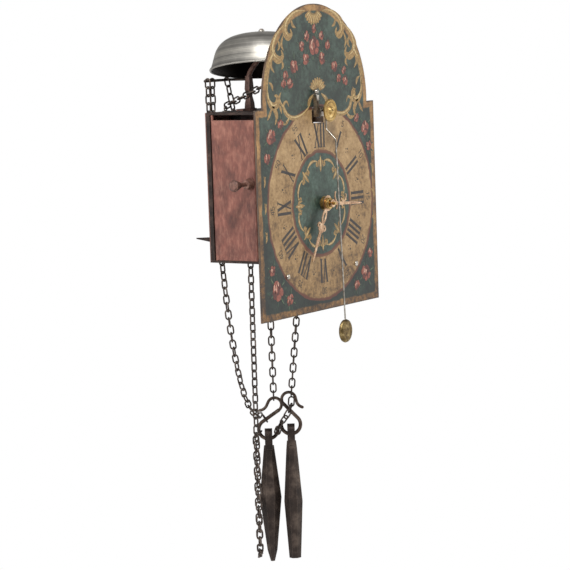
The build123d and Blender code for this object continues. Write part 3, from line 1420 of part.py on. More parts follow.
def eye_ring(x, y, z, radius, wire, facing):
    """A closed ring of round wire."""
    plane = Plane(origin=(x, y, z), z_dir=facing)
    with BuildSketch(Plane(origin=plane.origin + plane.x_dir * radius, x_dir=plane.x_dir,
                           z_dir=plane.y_dir)) as ring_section:
        Circle(wire)
    revolve(ring_section.sketch, axis=Axis(plane.origin, plane.z_dir))


with BuildPart() as chain_staples:
    for foot in strand_feet:
        block(foot - 3, foot + 3, sheet_back, sheet_back + 1, staple_z - 14, staple_z - 4)
        block(foot - 0.9, foot + 0.9, sheet_back, staple_y + 0.8, staple_z - 7, staple_z - 5.4)
        upright(foot, staple_y, staple_z - 6, staple_z - staple_radius, staple_wire)
        eye_ring(foot, staple_y, staple_z, staple_radius, staple_wire, (1, 0, 0))
chain_staples.part.label = "chain_staples"
export_step(chain_staples.part, "parts/chain_staples.step")

with BuildPart() as chain_rail:
    rail_front = stand_y + 3.4
    round_bar(0, rail_z, rail_front, staple_y, rail_radius)
    side_bar(staple_y, rail_z, strand_tops[0] - 5, 0, rail_radius)
    with Locations((0, staple_y, rail_z), (strand_tops[0] - 5, staple_y, rail_z)):
        Sphere(rail_radius + 0.2)
chain_rail.part.label = "chain_rail"
export_step(chain_rail.part, "parts/chain_rail.step")

def taut_links(low_eye, high_eye, links, first_facing):
    """A straight row of links between two eyes, each a quarter turn from the one before it."""
    along = (high_eye - low_eye).normalized()
    facing = (first_facing - along * first_facing.dot(along)).normalized()
    spacing = ((high_eye - low_eye).length - 2 * half_link) / (links - 1)
    for number in range(links):
        turned = along.cross(facing) if number % 2 else facing
        centre = low_eye + along * (half_link + number * spacing)
        add_links([Plane(origin=centre, x_dir=along.cross(turned), z_dir=turned)])


with BuildPart() as hanging_chain:
    for foot, end in zip(strand_feet, strand_tops):
        taut_links(Vector(foot, staple_y, low_eye_z),
                   Vector(end, staple_y, rail_z + rail_radius + link_wire / 2 + 0.05),
                   strand_links, Vector(0, 1, 0))
hanging_chain.part.label = "hanging_chain"
export_step(hanging_chain.part, "parts/hanging_chain.step")

stay_foot = Vector(-25, 109, frame_top + 3.5)
stay_anchor = Vector(-54, bracket_back + 1.5, 272)
stay_links = 12
with BuildPart() as stay_staples:
    block(stay_foot.X - 3, stay_foot.X + 3, stay_foot.Y - 4, stay_foot.Y + 2.5, frame_top, frame_top + 1)
    eye_ring(stay_foot.X, stay_foot.Y, stay_foot.Z, staple_radius, staple_wire, (0, 1, 0))
    block(stay_anchor.X - 4, stay_anchor.X + 4, dial_thickness, dial_thickness + 1.2, stay_anchor.Z - 4,
          stay_anchor.Z + 4)
    block(stay_anchor.X - 0.8, stay_anchor.X + 0.8, dial_thickness, stay_anchor.Y - staple_radius + 1.9,
          stay_anchor.Z - 0.8, stay_anchor.Z + 0.8)
    eye_ring(stay_anchor.X, stay_anchor.Y + 1.5, stay_anchor.Z, staple_radius, staple_wire, (1, 0, 0))
stay_staples.part.label = "stay_staples"
export_step(stay_staples.part, "parts/stay_staples.step")

with BuildPart() as stay_chain:
    foot_ring_top = stay_foot + Vector(0, 0, staple_radius)
    anchor_eye = stay_anchor + Vector(0, 2.1, 0)
    hook_in = staple_wire + link_wire / 2 + 0.1
    foot_eye = foot_ring_top - (anchor_eye - foot_ring_top).normalized() * hook_in
    taut_links(foot_eye, anchor_eye, stay_links, Vector(1, 0, 0))
stay_chain.part.label = "stay_chain"
export_step(stay_chain.part, "parts/stay_chain.step")
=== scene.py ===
import math
import random

import bpy
from mathutils import Matrix, Vector


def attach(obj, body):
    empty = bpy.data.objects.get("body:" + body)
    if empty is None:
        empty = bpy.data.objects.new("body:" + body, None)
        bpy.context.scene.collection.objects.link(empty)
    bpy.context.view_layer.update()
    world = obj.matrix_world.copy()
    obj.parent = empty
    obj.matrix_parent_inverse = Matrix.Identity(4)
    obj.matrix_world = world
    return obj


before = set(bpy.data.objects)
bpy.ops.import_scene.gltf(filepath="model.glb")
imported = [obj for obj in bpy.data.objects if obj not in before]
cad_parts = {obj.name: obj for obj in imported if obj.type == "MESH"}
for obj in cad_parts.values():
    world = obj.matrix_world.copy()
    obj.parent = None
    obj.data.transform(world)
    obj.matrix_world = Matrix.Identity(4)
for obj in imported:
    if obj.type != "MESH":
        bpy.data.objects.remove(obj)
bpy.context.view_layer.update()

# The clock's layout in millimetres, as in the part's source: points are x, z on the dial or x, y, z
DIAL_CENTRE = (5, 123.6)
DIAL_EDGE = (125, 236)
ARCH_CENTRE = (0, 241.5)
ARCH_RADIUS = 110
RING_RADII = (60, 110.5)
BELL_MOUTH = (0, 72, 277.5)
BELL_LEAN = (10.5, 56.3)

# The painting on the dial, in millimetres
BORDER_WIDTH = 7.0
BORDER_FADE = 1.6
HAND_WANDER = 5.0
NUMERAL_REACH = (64.5, 91.5)
THICK_STROKE = 3.3
THIN_STROKE = 1.7
FINE_STROKE = 0.9
MINUTE_FIGURES_AT = 98

# The camera, worked out from the photograph's perspective: turn, fall and roll in degrees, place in metres
CAMERA_ANGLES = (56.34, 6.49, -1.95)
CAMERA_PLACE = (-2.22849, -1.43267, 0.33203)
CAMERA_LENS = 146.05
FLOOR_HEIGHT = -0.42
FLOOR_REACH = 6

random.seed(7)


# Camera, floor and light
def set_camera():
    """The camera stands left of the dial and a little above it, far back, as in the photograph."""
    turn, down, roll = (math.radians(angle) for angle in CAMERA_ANGLES)
    ahead = Vector((math.sin(turn) * math.cos(down), math.cos(turn) * math.cos(down), -math.sin(down)))
    level = Vector((math.cos(turn), -math.sin(turn), 0))
    rise = level.cross(ahead)
    right = level * math.cos(roll) + rise * math.sin(roll)
    up = rise * math.cos(roll) - level * math.sin(roll)
    data = bpy.data.cameras.new("camera")
    data.lens = CAMERA_LENS
    data.sensor_width = 36
    data.clip_start, data.clip_end = 0.1, 60
    camera = bpy.data.objects.new("camera", data)
    bpy.context.scene.collection.objects.link(camera)
    facing = Matrix((right, up, -ahead)).transposed().to_4x4()
    facing.translation = Vector(CAMERA_PLACE)
    camera.matrix_world = facing
    bpy.context.scene.camera = camera


def add_lamp(name, place, aim, size, watts):
    """A soft square lamp that points at a place on the clock."""
    data = bpy.data.lights.new(name, "AREA")
    data.shape = "SQUARE"
    data.size = size
    data.energy = watts
    lamp = bpy.data.objects.new(name, data)
    lamp.location = place
    lamp.rotation_mode = "QUATERNION"
    lamp.rotation_quaternion = (Vector(aim) - Vector(place)).to_track_quat("-Z", "Y")
    bpy.context.scene.collection.objects.link(lamp)


def add_sheet(name, corners, material):
    """A flat stage sheet through its corners."""
    mesh = bpy.data.meshes.new(name)
    mesh.from_pydata(corners, [], [tuple(range(len(corners)))])
    sheet = bpy.data.objects.new(name, mesh)
    bpy.context.scene.collection.objects.link(sheet)
    mesh.materials.append(material)


# Materials
def colour(hex_code):
    """An sRGB hex value as the linear colour that the shaders use."""
    channels = [int(hex_code[place:place + 2], 16) / 255 for place in (1, 3, 5)]
    return [c / 12.92 if c <= 0.04045 else ((c + 0.055) / 1.055) ** 2.4 for c in channels] + [1]


def add_node(tree, kind, links=None, stops=None, **settings):
    """A node with its settings, its colour stops and its linked or constant sockets."""
    made = tree.nodes.new(kind)
    for name, value in settings.items():
        setattr(made, name, value)
    if stops:
        elements = made.color_ramp.elements
        while len(elements) < len(stops):
            elements.new(0.5)
        for element, (place, hex_code) in zip(elements, stops):
            element.position = place
            element.color = colour(hex_code)
    for name, value in (links or {}).items():
        socket = made.inputs[name]
        if isinstance(value, bpy.types.NodeSocket):
            tree.links.new(value, socket)
        else:
            socket.default_value = value
    return made


def new_material(name):
    """An empty material with its shader and output."""
    material = bpy.data.materials.new(name)
    material.use_nodes = True
    tree = material.node_tree
    tree.nodes.clear()
    shader = add_node(tree, "ShaderNodeBsdfPrincipled")
    add_node(tree, "ShaderNodeOutputMaterial", {"Surface": shader.outputs[0]})
    return material, tree, shader


def place_in_mm(tree):
    """The object's own coordinates in millimetres."""
    coordinates = add_node(tree, "ShaderNodeTexCoord")
    scaled = add_node(tree, "ShaderNodeVectorMath", {0: coordinates.outputs["Object"], "Scale": 1000.0},
                      operation="SCALE")
    return scaled.outputs[0]


def patches(tree, place, size_mm, detail=4.0, rough=0.6):
    """Soft patches of a given size."""
    return add_node(tree, "ShaderNodeTexNoise", {"Vector": place, "Scale": 1 / size_mm, "Detail": detail,
                                                 "Roughness": rough}).outputs["Fac"]


def worn_edges(tree, radius_mm, low, high):
    """1 along the edges and corners, where hands and cloths have rubbed, and 0 on the flats."""
    bevel = add_node(tree, "ShaderNodeBevel", {"Radius": radius_mm / 1000}, samples=4)
    true = add_node(tree, "ShaderNodeNewGeometry")
    along = add_node(tree, "ShaderNodeVectorMath", {0: bevel.outputs[0], 1: true.outputs["Normal"]},
                     operation="DOT_PRODUCT")
    return add_node(tree, "ShaderNodeMapRange", {"Value": along.outputs["Value"], "From Min": high,
                                                 "From Max": low}).outputs[0]


def finish_surface(tree, shader, base, rough, height, depth_mm, metallic=0.0, rough_range=(0.35, 0.6)):
    """Link the colour, the roughness pattern and the relief to the shader."""
    tree.links.new(base, shader.inputs["Base Color"])
    spread = add_node(tree, "ShaderNodeMapRange", {"Value": rough, "To Min": rough_range[0],
                                                   "To Max": rough_range[1]})
    tree.links.new(spread.outputs[0], shader.inputs["Roughness"])
    shader.inputs["Metallic"].default_value = metallic
    bump = add_node(tree, "ShaderNodeBump", {"Height": height, "Strength": 1.0, "Distance": depth_mm / 1000})
    tree.links.new(bump.outputs[0], shader.inputs["Normal"])


def forged_iron(name, dark, mid, light, metallic, rough_range, grain_mm=3.0, depth_mm=0.25):
    """Hammered, blackened iron: soft dents, brown patches where rust was oiled, brighter rubbed edges."""
    material, tree, shader = new_material(name)
    place = place_in_mm(tree)
    dents = patches(tree, place, grain_mm, 3.0)
    rust = patches(tree, place, grain_mm * 4, 5.0)
    tint = add_node(tree, "ShaderNodeValToRGB", {"Fac": rust}, stops=((0.3, dark), (0.5, mid), (0.72, light)))
    rubbed = add_node(tree, "ShaderNodeMix", {"Factor": worn_edges(tree, 0.7, 0.9, 0.985), 6: tint.outputs[0],
                                              7: colour(light)}, data_type="RGBA")
    finish_surface(tree, shader, rubbed.outputs[2], rust, dents, depth_mm, metallic, rough_range)
    return material


def old_paint(name, dark, mid, light, bare, flake_mm, rough_range=(0.45, 0.7), depth_mm=0.3, rub=0.75):
    """Old oil paint brushed on iron: uneven strokes, rubbed pale patches, chips down to the bare metal."""
    material, tree, shader = new_material(name)
    place = place_in_mm(tree)
    streaks = add_node(tree, "ShaderNodeMapping", {"Vector": place, "Scale": (1.0, 1.0, 0.35)})
    brushed = patches(tree, streaks.outputs[0], flake_mm * 0.7, 6.0)
    clouds = patches(tree, place, flake_mm * 5, 4.0)
    # The paint is made darker towards the bottom, over the case's 260 mm
    height = add_node(tree, "ShaderNodeSeparateXYZ", {0: place})
    lower_darkening = add_node(tree, "ShaderNodeMapRange", {"Value": height.outputs["Z"], "From Max": 260.0,
                                                    "To Min": -0.16, "To Max": 0.04})
    clouds_darker_low = add_node(tree, "ShaderNodeMath", {0: clouds, 1: lower_darkening.outputs[0]})
    tint = add_node(tree, "ShaderNodeValToRGB", {"Fac": clouds_darker_low.outputs[0]},
                    stops=((0.32, dark), (0.5, mid), (0.7, light)))
    second = add_node(tree, "ShaderNodeValToRGB", {"Fac": brushed},
                      stops=((0.3, dark), (0.5, mid), (0.68, light)))
    paint = add_node(tree, "ShaderNodeMix", {"Factor": 0.45, 6: tint.outputs[0], 7: second.outputs[0]},
                     data_type="RGBA")
    chips = add_node(tree, "ShaderNodeMapRange", {"Value": patches(tree, place, flake_mm, 8.0, 0.75),
                                                  "From Min": 0.66, "From Max": 0.7})
    chipped = add_node(tree, "ShaderNodeMix", {"Factor": chips.outputs[0], 6: paint.outputs[2],
                                               7: colour(bare)}, data_type="RGBA")
    edges = add_node(tree, "ShaderNodeMath", {0: worn_edges(tree, 1.2, 0.88, 0.98), 1: rub},
                     operation="MULTIPLY")
    rubbed = add_node(tree, "ShaderNodeMix", {"Factor": edges.outputs[0], 6: chipped.outputs[2],
                                              7: colour(bare)}, data_type="RGBA")
    finish_surface(tree, shader, rubbed.outputs[2], brushed, brushed, depth_mm, 0.0, rough_range)
    return material


def turned_metal(name, dark, mid, light, rough_range, patch_mm, depth_mm=0.04):
    """Turned and polished metal gone dull: cloudy tarnish with fine scratches, still bright where rubbed."""
    material, tree, shader = new_material(name)
    place = place_in_mm(tree)
    tarnish = patches(tree, place, patch_mm, 6.0)
    # Scratches 0.5 mm apart, coarser than real ones, so that they still show
    scratches = patches(tree, place, 0.5, 2.0)
    tint = add_node(tree, "ShaderNodeValToRGB", {"Fac": tarnish},
                    stops=((0.3, dark), (0.52, mid), (0.72, light)))
    rubbed = add_node(tree, "ShaderNodeMix", {"Factor": worn_edges(tree, 0.4, 0.9, 0.985), 6: tint.outputs[0],
                                              7: colour(light)}, data_type="RGBA")
    finish_surface(tree, shader, rubbed.outputs[2], tarnish, scratches, depth_mm, 1.0, rough_range)
    return material


def bell_metal():
    """Cast and turned bell metal, grey with age: lathe rings round its axis and cloudy stains."""
    material, tree, shader = new_material("bell_metal")
    place = place_in_mm(tree)
    lean, turn = math.radians(BELL_LEAN[0]), math.radians(BELL_LEAN[1])
    axis = (math.sin(lean) * math.sin(turn), math.sin(lean) * math.cos(turn), math.cos(lean))
    height = add_node(tree, "ShaderNodeVectorMath", {0: place, 1: axis}, operation="DOT_PRODUCT")
    stains = patches(tree, place, 22, 5.0)
    # Lathe rings 1.5 mm apart: the real ones are finer, but these still show
    rings = add_node(tree, "ShaderNodeTexNoise", {"W": height.outputs["Value"], "Scale": 0.65, "Detail": 3.0},
                     noise_dimensions="1D")
    wide = add_node(tree, "ShaderNodeTexNoise", {"W": height.outputs["Value"], "Scale": 0.13, "Detail": 1.0},
                    noise_dimensions="1D")
    mixed = add_node(tree, "ShaderNodeMath", {0: rings.outputs["Fac"], 1: wide.outputs["Fac"]},
                     operation="ADD")
    tone_factor = add_node(tree, "ShaderNodeMath", {0: mixed.outputs[0], 1: stains}, operation="ADD")
    share = add_node(tree, "ShaderNodeMath", {0: tone_factor.outputs[0], 1: 3.0}, operation="DIVIDE")
    tint = add_node(tree, "ShaderNodeValToRGB", {"Fac": share.outputs[0]},
                    stops=((0.36, "#76736e"), (0.5, "#94918b"), (0.64, "#b8b3a9")))
    # Painted shade: inside the bell the metal is made nearly black
    reach = add_node(tree, "ShaderNodeVectorMath", {0: place, 1: BELL_MOUTH}, operation="SUBTRACT")
    skin = add_node(tree, "ShaderNodeTexCoord")
    away = add_node(tree, "ShaderNodeVectorMath", {0: skin.outputs["Normal"], 1: reach.outputs[0]},
                    operation="DOT_PRODUCT")
    inside = add_node(tree, "ShaderNodeMath", {0: away.outputs["Value"], 1: -3.0}, operation="LESS_THAN")
    inside_painted_shade = add_node(tree, "ShaderNodeMix", {"Factor": inside.outputs[0], 6: tint.outputs[0],
                                             7: colour("#2c2927")}, data_type="RGBA")
    finish_surface(tree, shader, inside_painted_shade.outputs[2], share.outputs[0], rings.outputs["Fac"], 0.06, 1.0,
                   (0.4, 0.6))
    return material


def dial_paint():
    """Oil paint on sheet iron: an ochre border, a dark green ground, a cream hour ring and a green middle."""
    material, tree, shader = new_material("dial_oil_paint")
    place = place_in_mm(tree)
    flat = add_node(tree, "ShaderNodeVectorMath", {0: place, 1: (1, 0, 1)}, operation="MULTIPLY")
    hand = add_node(tree, "ShaderNodeTexNoise", {"Vector": flat.outputs[0], "Scale": 0.07, "Detail": 3.0})
    wander = add_node(tree, "ShaderNodeVectorMath", {0: hand.outputs["Color"], 1: (0.5, 0.5, 0.5)},
                      operation="SUBTRACT")
    drift = add_node(tree, "ShaderNodeVectorMath", {0: wander.outputs[0], 1: (HAND_WANDER, 0, HAND_WANDER)},
                     operation="MULTIPLY")
    drawn = add_node(tree, "ShaderNodeVectorMath", {0: flat.outputs[0], 1: drift.outputs[0]}, operation="ADD")
    parts = add_node(tree, "ShaderNodeSeparateXYZ", {0: drawn.outputs[0]})
    ring_middle = (DIAL_CENTRE[0], 0, DIAL_CENTRE[1])
    ring = add_node(tree, "ShaderNodeVectorMath", {0: drawn.outputs[0], 1: ring_middle}, operation="DISTANCE")
    arch_middle = (ARCH_CENTRE[0], 0, ARCH_CENTRE[1])
    arch = add_node(tree, "ShaderNodeVectorMath", {0: drawn.outputs[0], 1: arch_middle}, operation="DISTANCE")
    in_arch = add_node(tree, "ShaderNodeMath", {0: float(ARCH_RADIUS), 1: arch.outputs["Value"]},
                       operation="SUBTRACT")
    aside = add_node(tree, "ShaderNodeMath", {0: parts.outputs["X"]}, operation="ABSOLUTE")
    in_sides = add_node(tree, "ShaderNodeMath", {0: float(DIAL_EDGE[0]), 1: aside.outputs[0]},
                        operation="SUBTRACT")
    in_top = add_node(tree, "ShaderNodeMath", {0: float(DIAL_EDGE[1]), 1: parts.outputs["Z"]},
                      operation="SUBTRACT")
    in_ends = add_node(tree, "ShaderNodeMath", {0: in_top.outputs[0], 1: parts.outputs["Z"]},
                       operation="MINIMUM")
    in_box = add_node(tree, "ShaderNodeMath", {0: in_ends.outputs[0], 1: in_sides.outputs[0]},
                      operation="MINIMUM")
    inset = add_node(tree, "ShaderNodeMath", {0: in_box.outputs[0], 1: in_arch.outputs[0]},
                     operation="MAXIMUM")

    age = patches(tree, flat.outputs[0], 26, 6.0, 0.65)
    grime = patches(tree, flat.outputs[0], 5, 7.0, 0.7)
    both = add_node(tree, "ShaderNodeMath", {0: age, 1: grime}, operation="ADD")
    halved = add_node(tree, "ShaderNodeMath", {0: both.outputs[0], 1: 2.0}, operation="DIVIDE")
    # Painted shade: the lower half is made darker than the upper
    lower_darkening = add_node(tree, "ShaderNodeMapRange", {"Value": parts.outputs["Z"],
                                                    "From Max": float(DIAL_EDGE[1]),
                                                    "To Min": -0.085, "To Max": 0.015})
    # The tone factor mixes real age and grime patches with the painted shade towards the bottom
    tone_factor = add_node(tree, "ShaderNodeMath", {0: halved.outputs[0], 1: lower_darkening.outputs[0]}).outputs[0]
    ochre = add_node(tree, "ShaderNodeValToRGB", {"Fac": tone_factor},
                     stops=((0.36, "#3c2a19"), (0.47, "#7a5831"), (0.6, "#ab8350")))
    green = add_node(tree, "ShaderNodeValToRGB", {"Fac": tone_factor},
                     stops=((0.36, "#141a17"), (0.49, "#263129"), (0.64, "#46574c")))
    cream = add_node(tree, "ShaderNodeValToRGB", {"Fac": tone_factor},
                     stops=((0.34, "#4f381f"), (0.44, "#8a6c44"), (0.6, "#b39469")))
    middle = add_node(tree, "ShaderNodeValToRGB", {"Fac": tone_factor},
                      stops=((0.36, "#1a241e"), (0.48, "#34453b"), (0.62, "#566a5e")))
    ground = add_node(tree, "ShaderNodeMapRange", {"Value": inset.outputs[0], "From Min": BORDER_WIDTH,
                                                   "From Max": BORDER_WIDTH + BORDER_FADE})
    outer = add_node(tree, "ShaderNodeMapRange", {"Value": ring.outputs["Value"],
                                                  "From Min": RING_RADII[1] + 0.4,
                                                  "From Max": RING_RADII[1] - 0.4})
    inner = add_node(tree, "ShaderNodeMapRange", {"Value": ring.outputs["Value"],
                                                  "From Min": RING_RADII[0] + 0.4,
                                                  "From Max": RING_RADII[0] - 0.4})
    # Red-brown lines along both edges of the hour ring, 3.4 and 3.8 mm wide
    outer_line = add_node(tree, "ShaderNodeMath", {0: ring.outputs["Value"], 1: RING_RADII[1] + 0.5, 2: 1.7},
                          operation="COMPARE")
    inner_line = add_node(tree, "ShaderNodeMath", {0: ring.outputs["Value"], 1: RING_RADII[0] + 0.2, 2: 1.9},
                          operation="COMPARE")
    lines = add_node(tree, "ShaderNodeMath", {0: outer_line.outputs[0], 1: inner_line.outputs[0]},
                     operation="MAXIMUM")
    faded = add_node(tree, "ShaderNodeMath", {0: lines.outputs[0], 1: 0.85}, operation="MULTIPLY")
    on_ground = add_node(tree, "ShaderNodeMix", {"Factor": ground.outputs[0], 6: ochre.outputs[0],
                                                 7: green.outputs[0]}, data_type="RGBA")
    on_ring = add_node(tree, "ShaderNodeMix", {"Factor": outer.outputs[0], 6: on_ground.outputs[2],
                                               7: cream.outputs[0]}, data_type="RGBA")
    in_middle = add_node(tree, "ShaderNodeMix", {"Factor": inner.outputs[0], 6: on_ring.outputs[2],
                                                 7: middle.outputs[0]}, data_type="RGBA")
    lined = add_node(tree, "ShaderNodeMix", {"Factor": faded.outputs[0], 6: in_middle.outputs[2],
                                             7: colour("#5e3020")}, data_type="RGBA")
    # Small losses, 1 to 3 mm across, where the paint has come off
    losses = add_node(tree, "ShaderNodeMapRange", {"Value": patches(tree, flat.outputs[0], 3.2, 6.0, 0.75),
                                                   "From Min": 0.62, "From Max": 0.67})
    bare = add_node(tree, "ShaderNodeMix", {"Factor": losses.outputs[0], 6: lined.outputs[2],
                                            7: colour("#46331f")}, data_type="RGBA")
    rim = add_node(tree, "ShaderNodeMapRange", {"Value": inset.outputs[0], "From Min": 1.6, "From Max": 0.2})
    rubbed = add_node(tree, "ShaderNodeMix", {"Factor": rim.outputs[0], 6: bare.outputs[2],
                                              7: colour("#3a2a1c")}, data_type="RGBA")
    # The back and the edges are bare, rusty iron
    side = add_node(tree, "ShaderNodeTexCoord")
    facing = add_node(tree, "ShaderNodeSeparateXYZ", {0: side.outputs["Normal"]})
    behind = add_node(tree, "ShaderNodeMath", {0: facing.outputs["Y"], 1: -0.5}, operation="GREATER_THAN")
    iron = add_node(tree, "ShaderNodeValToRGB", {"Fac": age}, stops=((0.35, "#2a211b"), (0.6, "#5a4331")))
    plate = add_node(tree, "ShaderNodeMix", {"Factor": behind.outputs[0], 6: rubbed.outputs[2],
                                             7: iron.outputs[0]}, data_type="RGBA")
    finish_surface(tree, shader, plate.outputs[2], grime, grime, 0.12, 0.0, (0.4, 0.65))
    return material


def brushed_colour(name, dark, mid, light):
    """Artist's oil colour laid on thickly with a small brush, dulled by old varnish."""
    material, tree, shader = new_material(name)
    place = place_in_mm(tree)
    stroke = patches(tree, place, 3.0, 5.0, 0.7)
    tint = add_node(tree, "ShaderNodeValToRGB", {"Fac": stroke},
                    stops=((0.33, dark), (0.5, mid), (0.66, light)))
    finish_surface(tree, shader, tint.outputs[0], stroke, stroke, 0.08, 0.0, (0.35, 0.6))
    return material


def dress(material, *nodes):
    """Give CAD nodes their finish."""
    for name in nodes:
        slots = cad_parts[name].data.materials
        slots.clear()
        slots.append(material)


# Painted decoration: strokes and petals a few tenths of a millimetre proud of the dial
def smooth_line(points, steps=8):
    """A smooth line through a few points, with the places in between worked out."""
    line = []
    for index in range(len(points) - 1):
        before = points[max(index - 1, 0)]
        start, end = points[index], points[index + 1]
        after = points[min(index + 2, len(points) - 1)]
        for step in range(steps):
            t = step / steps
            line.append(tuple(0.5 * (2 * b + (c - a) * t + (2 * a - 5 * b + 4 * c - d) * t * t
                                     + (3 * b - a - 3 * c + d) * t ** 3)
                              for a, b, c, d in zip(before, start, end, after)))
    line.append(tuple(points[-1]))
    return line


class Paint:
    """Everything that is painted in one colour, gathered into one mesh."""

    def __init__(self, name, material, lift):
        self.name, self.material, self.lift = name, material, lift
        self.vertices, self.faces = [], []

    def point(self, x, z, height):
        self.vertices.append((x / 1000, -(self.lift + height) / 1000, z / 1000))
        return len(self.vertices) - 1

    def stroke(self, points, width, pointed=(True, True), steps=8, relief=0.12):
        """A brush stroke along a smooth line, thick in its middle and pointed at its ends."""
        line = smooth_line(points, steps)
        rows = []
        for index, (x, z) in enumerate(line):
            ahead, behind = line[min(index + 1, len(line) - 1)], line[max(index - 1, 0)]
            length = math.hypot(ahead[0] - behind[0], ahead[1] - behind[1]) or 1
            across = (-(ahead[1] - behind[1]) / length, (ahead[0] - behind[0]) / length)
            share = index / (len(line) - 1)
            swell = 1.0
            if pointed[0]:
                swell = min(swell, 0.12 + 2.4 * share)
            if pointed[1]:
                swell = min(swell, 0.12 + 2.4 * (1 - share))
            half = width / 2 * swell
            rows.append([self.point(x + across[0] * half * s, z + across[1] * half * s, h)
                         for s, h in ((-1, 0), (-0.45, relief), (0.45, relief), (1, 0))])
        for first, second in zip(rows, rows[1:]):
            for a in range(3):
                self.faces.append((first[a], first[a + 1], second[a + 1], second[a]))

    def petal(self, x, z, long, wide, turn, relief=0.15, points=14):
        """A rounded dab of paint."""
        c, s = math.cos(math.radians(turn)), math.sin(math.radians(turn))
        rims = []
        for share, height in ((1, 0), (0.6, relief)):
            rim = []
            for step in range(points):
                angle = 2 * math.pi * step / points
                u = long * share * math.cos(angle)
                v = wide * share * math.sin(angle) * (1 + 0.15 * math.cos(angle))
                rim.append(self.point(x + u * c - v * s, z + u * s + v * c, height))
            rims.append(rim)
        for step in range(points):
            following = (step + 1) % points
            self.faces.append((rims[0][step], rims[0][following], rims[1][following], rims[1][step]))
        self.faces.append(tuple(rims[1]))

    def make(self, body="clock", slot="dial"):
        """Turn the gathered strokes into one object, facing the viewer."""
        mesh = bpy.data.meshes.new(self.name)
        mesh.from_pydata(self.vertices, [], self.faces)
        mesh.update()
        made = bpy.data.objects.new(self.name, mesh)
        bpy.context.scene.collection.objects.link(made)
        for face in mesh.polygons:
            if face.normal.y > 0:
                face.flip()
            face.use_smooth = True
        mesh.materials.append(self.material)
        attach(made, body)
        return made


def both_sides(points, middle=0):
    """A row of points and its mirror image."""
    return points, [(2 * middle - x, z) for x, z in points]


NUMERALS = ("XII", "I", "II", "III", "IIII", "V", "VI", "VII", "VIII", "IX", "X", "XI")
LETTER_WIDTH = {"I": 6.2, "V": 10.4, "X": 11.4}
DIGIT_PITCH = 5.2
DIGITS = {
    "0": ((0, 3.5), (0.5, 6.4), (2, 7), (3.5, 6.4), (4, 3.5), (3.5, 0.6), (2, 0), (0.5, 0.6), (0, 3.5)),
    "1": ((1, 5.6), (2.2, 7), (2.2, 0)),
    "2": ((0.2, 5.4), (1.8, 7), (3.7, 5.6), (2.6, 3), (0.2, 0.2), (4, 0.2)),
    "3": ((0.3, 6.2), (2.2, 7), (3.7, 5.6), (1.8, 3.8), (3.9, 2), (2.2, 0), (0.2, 0.9)),
    "4": ((3, 0), (3, 7), (0.1, 2.2), (4.3, 2.2)),
    "5": ((3.8, 7), (0.8, 6.9), (0.5, 3.9), (2.6, 4.4), (4, 2.3), (2.2, 0), (0.2, 0.8)),
    "6": ((3.6, 6.4), (1.6, 6.8), (0.2, 3.6), (0.5, 0.9), (2.4, 0), (4, 1.9), (2.4, 3.8), (0.4, 2.4)),
}


def dial_place(turn, across, outward):
    """A point on the hour ring: turned clockwise from XII, to the right of its ray, out from the middle."""
    c, s = math.cos(math.radians(turn)), math.sin(math.radians(turn))
    return DIAL_CENTRE[0] + outward * s + across * c, DIAL_CENTRE[1] + outward * c - across * s


def paint_hours(black):
    """Roman hours with thick and thin strokes, small minute figures outside them and marks between them."""
    low, high = NUMERAL_REACH
    for hour, letters in enumerate(NUMERALS):
        turn = hour * 30
        at = -sum(LETTER_WIDTH[letter] for letter in letters) / 2
        for letter in letters:
            middle = at + LETTER_WIDTH[letter] / 2
            reach = LETTER_WIDTH[letter] / 2 - 1.6
            left, right = middle - reach, middle + reach
            if letter == "I":
                strokes = ((middle, low, middle, high, THICK_STROKE),)
                feet = ((middle, low), (middle, high))
            elif letter == "V":
                strokes = ((left, high, middle, low, THICK_STROKE), (right, high, middle, low, THIN_STROKE))
                feet = ((left, high), (right, high))
            else:
                strokes = ((left, high, right, low, THICK_STROKE), (right, high, left, low, THIN_STROKE))
                feet = ((left, high), (right, high), (left, low), (right, low))
            for x_1, r_1, x_2, r_2, width in strokes:
                halfway = dial_place(turn, (x_1 + x_2) / 2, (r_1 + r_2) / 2)
                black.stroke([dial_place(turn, x_1, r_1), halfway, dial_place(turn, x_2, r_2)], width,
                             (False, False), 3, 0.06)
            for x, r in feet:
                black.stroke([dial_place(turn, x - 2.3, r), dial_place(turn, x + 2.3, r)], FINE_STROKE,
                             (False, False), 3, 0.05)
            at += LETTER_WIDTH[letter]
        figures = str(hour * 5 or 60)
        start = -len(figures) * DIGIT_PITCH / 2
        for place, figure in enumerate(figures):
            outline = [dial_place(turn, start + place * DIGIT_PITCH + u, MINUTE_FIGURES_AT + v)
                       for u, v in DIGITS[figure]]
            black.stroke(outline, FINE_STROKE, (False, False), 4, 0.05)
        # A large dot and three small ones, halfway between the hours
        for across, outward, size in ((0, 83, 1.5), (0, 77.5, 0.8), (-2.6, 80.5, 0.8), (2.6, 80.5, 0.8)):
            x, z = dial_place(turn + 15, across, outward)
            black.petal(x, z, size, size * 0.8, 0, 0.05, 8)


# Each rose's x, z and radius in millimetres
ROSES = ((-1, 303, 12.5), (0, 323, 5.5), (-16, 315, 6), (15, 315, 6), (-27, 304, 6.5), (28, 304, 6.5),
         (-19, 289, 7.5), (15, 289, 7.5), (-44, 282, 9), (-62, 272, 6.5), (-54, 263, 7), (-66, 263, 5.5),
         (41, 279, 7.5), (61, 274, 5.5), (50, 265, 5.5), (64, 262, 6.5), (-75, 219, 6.5), (-95, 205, 10),
         (-104, 182, 7), (86, 217, 6), (104, 205, 9.5), (112, 183, 6.5), (-101, 56, 7), (-93, 33, 12),
         (-67, 20, 7.5), (108, 56, 6.5), (97, 33, 11), (76, 21, 6.5))


def out_from(x, z, distance, turn):
    """The point at a distance from another, in a direction given in radians."""
    return x + distance * math.cos(turn), z + distance * math.sin(turn)


